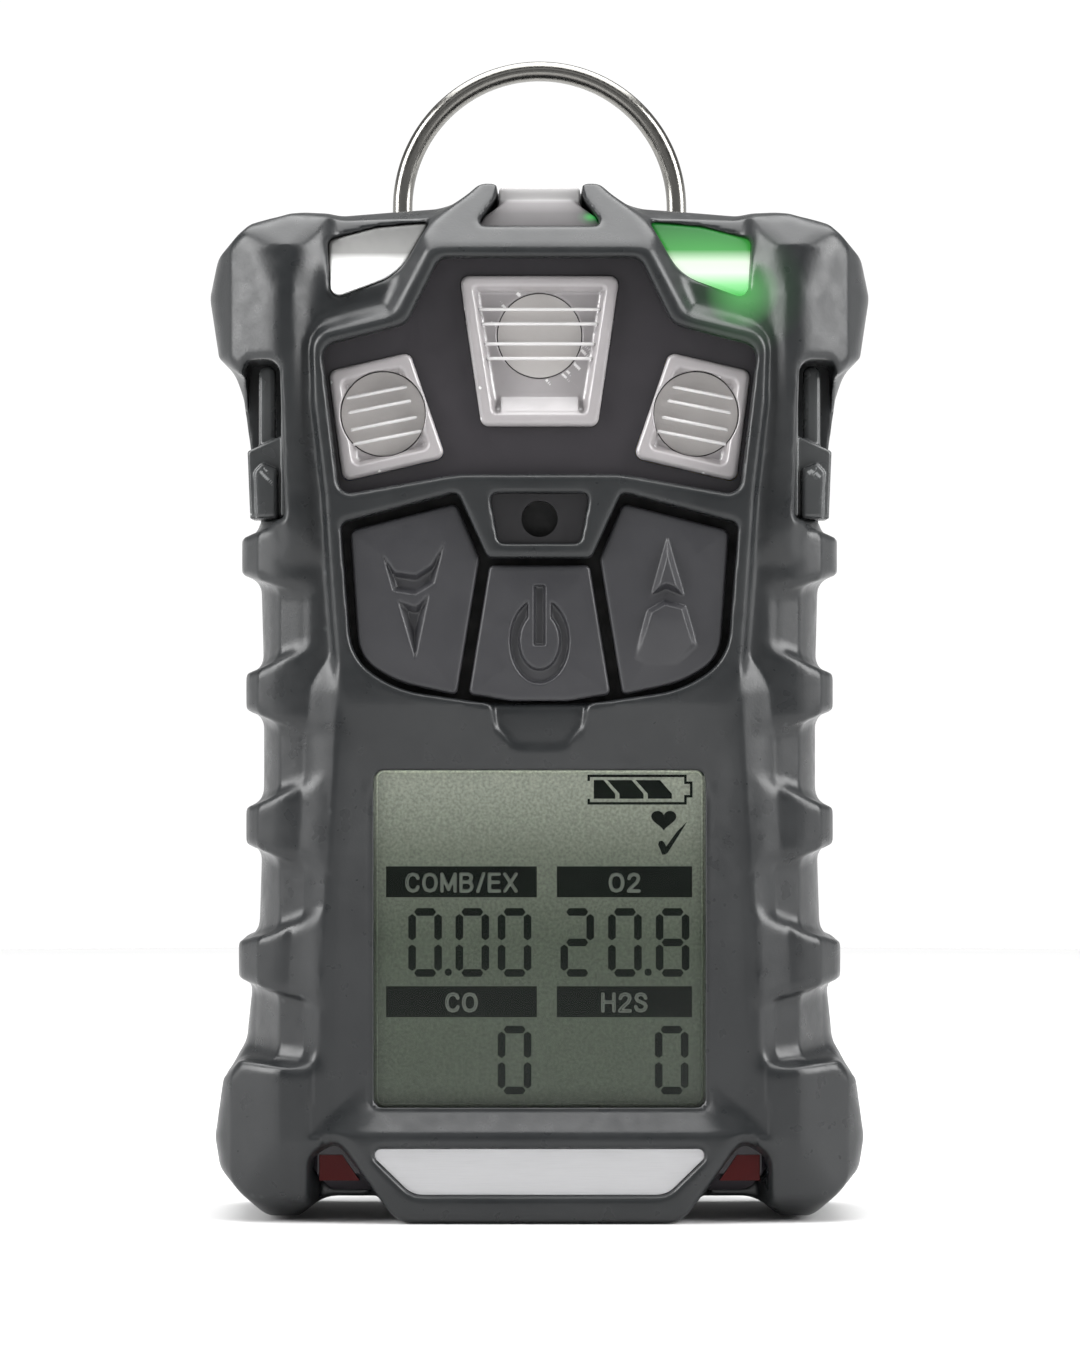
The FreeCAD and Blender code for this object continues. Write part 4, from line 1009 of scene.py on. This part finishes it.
def make_materials():
    """Every material by a short name, but for those of the shoulder lenses."""
    return {
        "boot": boot_rubber(),
        "housing": moulded("housing_plastic", (0.016, 0.014, 0.017), (0.022, 0.019, 0.023), 0.38, 0.48,
                           4.0, 0.09),
        "key": moulded("key_rubber", (0.020, 0.020, 0.023), (0.027, 0.027, 0.030), 0.38, 0.48, 4.0, 0.15),
        "black": moulded("black_rubber", (0.004, 0.004, 0.004), (0.008, 0.008, 0.008), 0.6, 0.8,
                         2.0, 0.2),
        "horn": moulded("horn_plastic", (0.010, 0.0095, 0.011), (0.015, 0.014, 0.016), 0.30, 0.42,
                        4.0, 0.08),
        "clear": clear_plastic(),
        # pale rails on the guards: painted highlights for the lit edges of the louvres
        "vane": moulded("vane_edge_highlight", (0.52, 0.51, 0.51), (0.64, 0.63, 0.63), 0.10, 0.20, 0.8, 0.1),
        "catch": catch_plastic(),
        "filter": moulded("filter_membrane", (0.36, 0.345, 0.335), (0.46, 0.44, 0.43), 0.7, 0.9,
                          3.0, 0.5),
        "red": moulded("lens_red", (0.045, 0.002, 0.002), (0.070, 0.004, 0.004), 0.35, 0.45, 1.0, 0.1,
                       Specular_IOR_Level=0.15),
        "top": top_lens(),
        "glass": window_glass(),
        "cell": display_cell("display_cell", 1.0),
        # a brighter copy of the cell: the painted line of light round the display's edge
        "cell_rim_light": display_cell("display_rim_light", 1.5),
        "ink": moulded("display_ink", (0.003, 0.006, 0.004), (0.004, 0.008, 0.005), 0.5, 0.6, 2.0, 0.1,
                       Specular_IOR_Level=0.1),
        "symbol": moulded("display_symbol", (0.15, 0.17, 0.14), (0.18, 0.20, 0.17), 0.4, 0.5, 2.0, 0.1),
        "steel_wire": brushed("wire_steel", (0.24, 0.235, 0.22), 0.20, (1.0, 1.0, 0.2), 3.0),
        "steel_sheet": brushed("clip_steel", (0.33, 0.33, 0.33), 0.30, (1.0, 1.0, 0.05), 8.0),
        "screw": brushed("screw_steel", (0.42, 0.42, 0.43), 0.32, (1.0, 1.0, 1.0), 4.0),
        "plate": brushed("nameplate_silver", (0.55, 0.55, 0.56), 0.42, (0.04, 1.0, 1.0), 8.0),
        "label": moulded("label_film", (0.42, 0.42, 0.43), (0.50, 0.50, 0.51), 0.35, 0.45, 1.0, 0.1),
        "brass": brushed("brass", (0.70, 0.50, 0.20), 0.3, (1.0, 1.0, 1.0), 4.0),
        "board": moulded("circuit_board", (0.01, 0.09, 0.035), (0.02, 0.13, 0.05), 0.3, 0.4, 1.0, 0.1),
        "film": moulded("ribbon_film", (0.45, 0.20, 0.04), (0.52, 0.25, 0.06), 0.3, 0.4, 1.0, 0.1),
        "cell_blue": moulded("sensor_blue", (0.02, 0.06, 0.20), (0.03, 0.08, 0.26), 0.4, 0.5, 1.0, 0.1),
        "cell_yellow": moulded("sensor_yellow", (0.55, 0.36, 0.03), (0.62, 0.42, 0.05), 0.4, 0.5,
                               1.0, 0.1),
        "wrap": moulded("battery_wrap", (0.02, 0.04, 0.14), (0.03, 0.05, 0.18), 0.3, 0.4, 0.5, 0.1),
        "guide": moulded("light_guide", (0.60, 0.62, 0.58), (0.70, 0.72, 0.68), 0.4, 0.5, 1.0, 0.1),
    }


PAINTED_NODES = {
    "housing": ("front_housing", "rear_housing"),
    "black": (
        "housing_gasket", "sensor_gaskets", "sensor_carrier", "keypad_membrane", "horn_membrane",
        "horn_gasket", "board_chips", "charge_block", "motor_cradle",
    ),
    "red": ("bottom_beacon_left", "bottom_beacon_right"),
    "filter": ("sensor_filter_center", "sensor_filter_left", "sensor_filter_right"),
    "screw": (
        "combustible_sensor", "key_switches", "horn_buzzer", "vibrator_motor", "vibrator_weight",
        "case_screws", "clip_screws", "clip_pin",
    ),
    "cell_blue": ("oxygen_sensor",),
    "cell_yellow": ("toxic_sensor",),
    "board": ("sensor_board", "main_board"),
    "film": ("sensor_ribbon",),
    "horn": ("horn_plate",),
    "glass": ("display_window",),
    "guide": ("lcd_backlight", "alarm_leds", "status_leds", "infrared_leds"),
    "wrap": ("battery_pack",),
    "brass": ("charge_contacts", "screw_inserts"),
    "plate": ("nameplate",),
    "label": ("rear_label",),
    "steel_sheet": ("clip_bracket", "clip_jaw"),
    "steel_wire": ("clip_spring", "wire_loop"),
}


def paint(piece, made):
    """Gives a piece that material alone."""
    piece.data.materials.clear()
    piece.data.materials.append(made)


# ---- putting the object together ---------------------------------------------
def place(piece, made, body="housing", stands_for=()):
    """Gives a new piece its material and body, and hides the CAD nodes it stands for."""
    paint(piece, made)
    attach(piece, body)
    if stands_for:
        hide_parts(*stands_for)


def build(materials):
    """Makes every visible piece, and paints the CAD nodes that keep their own shape."""
    boot_step = 0.32
    fine = 0.16
    block = Block((0.0, -17.2, -0.8), (37.4, 17.2, 115.8), boot_step)
    body = boot_field(block)
    place(make_front_boot(block, body), materials["boot"], stands_for=("front_boot",))
    place(make_rear_boot(block, body), materials["boot"], stands_for=("rear_boot",))
    unlit, lit = make_beacons(fine)
    place(unlit, silver_lens(), stands_for=("beacon_lens_left",))
    place(lit, lit_lens(), stands_for=("beacon_lens_right",))
    for name, piece in make_keys(fine).items():
        place(piece, materials["key"], name + "_key", (name,))
    for side in PORTS:
        guard, vanes = make_window(side, fine), make_vanes(side, fine)
        place(guard, materials["clear"], stands_for=("sensor_window_" + side,))
        place(vanes, materials["vane"])
    for side, catch in zip(FLANKS, make_catches(fine)):
        place(catch, materials["catch"], stands_for=("side_catch_" + side,))
    place(make_top_window(fine), materials["top"], stands_for=("top_window",))
    cell, edge = make_display(0.12)
    place(cell, materials["cell"], stands_for=("lcd_panel", "display_gasket"))
    place(edge, materials["cell_rim_light"])
    bars, labels = make_headers(0.09)
    for piece in bars + make_readings() + make_icons():
        place(piece, materials["ink"])
    for piece in labels:
        place(piece, materials["symbol"])
    for chosen, names in PAINTED_NODES.items():
        for name in names:
            paint(NODES[name], materials[chosen])


# ---- floor, light and camera -------------------------------------------------
def make_floor():
    """Pale round floor."""
    radius, count = 0.65, 96
    mesh = bpy.data.meshes.new("floor_disc")
    ring = [2 * math.pi * i / count for i in range(count)]
    points = [(radius * math.cos(a), radius * math.sin(a), 0.0) for a in ring]
    mesh.from_pydata(points, [], [range(count)])
    floor = linked("floor_disc", mesh)
    made = plain("floor_paper", (0.62, 0.62, 0.62), 0.8)
    shader_input(made, "Normal", bump(made, noise(made, 0.5, 2.0), 0.05, 0.05))
    paint(floor, made)


def area_light(name, location, aim, width, height, power):
    """Rectangular lamp aimed at a point, in metres and watts."""
    data = bpy.data.lights.new(name, "AREA")
    data.shape, data.size, data.size_y, data.energy = "RECTANGLE", width, height, power
    light = linked(name, data)
    light.location = location
    light.rotation_euler = (Vector(aim) - Vector(location)).to_track_quat("-Z", "Y").to_euler()


def make_world():
    """Dim studio with a white band along the horizon, darker on the side the face looks to."""
    world = bpy.data.worlds.new("studio")
    bpy.context.scene.world = world
    world.use_nodes = True
    coordinates = node(world, "ShaderNodeTexCoord").outputs["Generated"]
    split = node(world, "ShaderNodeSeparateXYZ", {"Vector": coordinates})
    shades = []
    for axis, stops in (
        ("Z", ((0.0, 0.26), (0.28, 0.26), (0.38, 1.05), (0.57, 1.05), (0.64, 0.26), (1.0, 0.26))),
        ("Y", ((0.0, 0.40), (0.20, 0.40), (0.50, 1.0), (1.0, 1.0))),
    ):
        share = spread(world, split.outputs[axis], 0.0, 1.0, -1.0, 1.0)
        shades.append(colour_ramp(world, share, [(at, (value,) * 3) for at, value in stops]))
    sky = mix_colours(world, 1.0, *shades, blend="MULTIPLY")
    feed(world, world.node_tree.nodes["Background"].inputs["Color"], sky)


def make_lights():
    """A large box overhead, one at each side, and a weak one in front."""
    middle = (0.0, 0.0, 0.06)
    area_light("overhead_box", (0.0, 0.12, 0.95), (0.0, 0.06, 0.0), 1.2, 1.1, 21.0)
    for name, side in FLANKS.items():
        area_light(name + "_box", (0.47 * side, -0.17, 0.30), middle, 0.26, 0.44, 3.9)
    area_light("front_box", (0.0, -0.80, 0.60), middle, 0.8, 0.3, 0.4)


def make_camera():
    """Straight on: the picture is view_height tall in the plane through the seam."""
    distance, view_height, eye, aside = 0.650, 0.1530, 0.0594, 0.00005
    data = bpy.data.cameras.new("camera")
    data.sensor_width = 36.0
    data.lens = data.sensor_width * distance / view_height
    data.clip_start, data.clip_end = 0.01, 10.0
    camera = linked("camera", data)
    camera.location = (aside, -distance, eye)
    camera.rotation_euler = (math.radians(90), 0.0, 0.0)
    bpy.context.scene.camera = camera


build(make_materials())
make_floor()
make_world()
make_lights()
make_camera()
bpy.context.scene.view_settings.view_transform = "Standard"
bpy.context.view_layer.update()
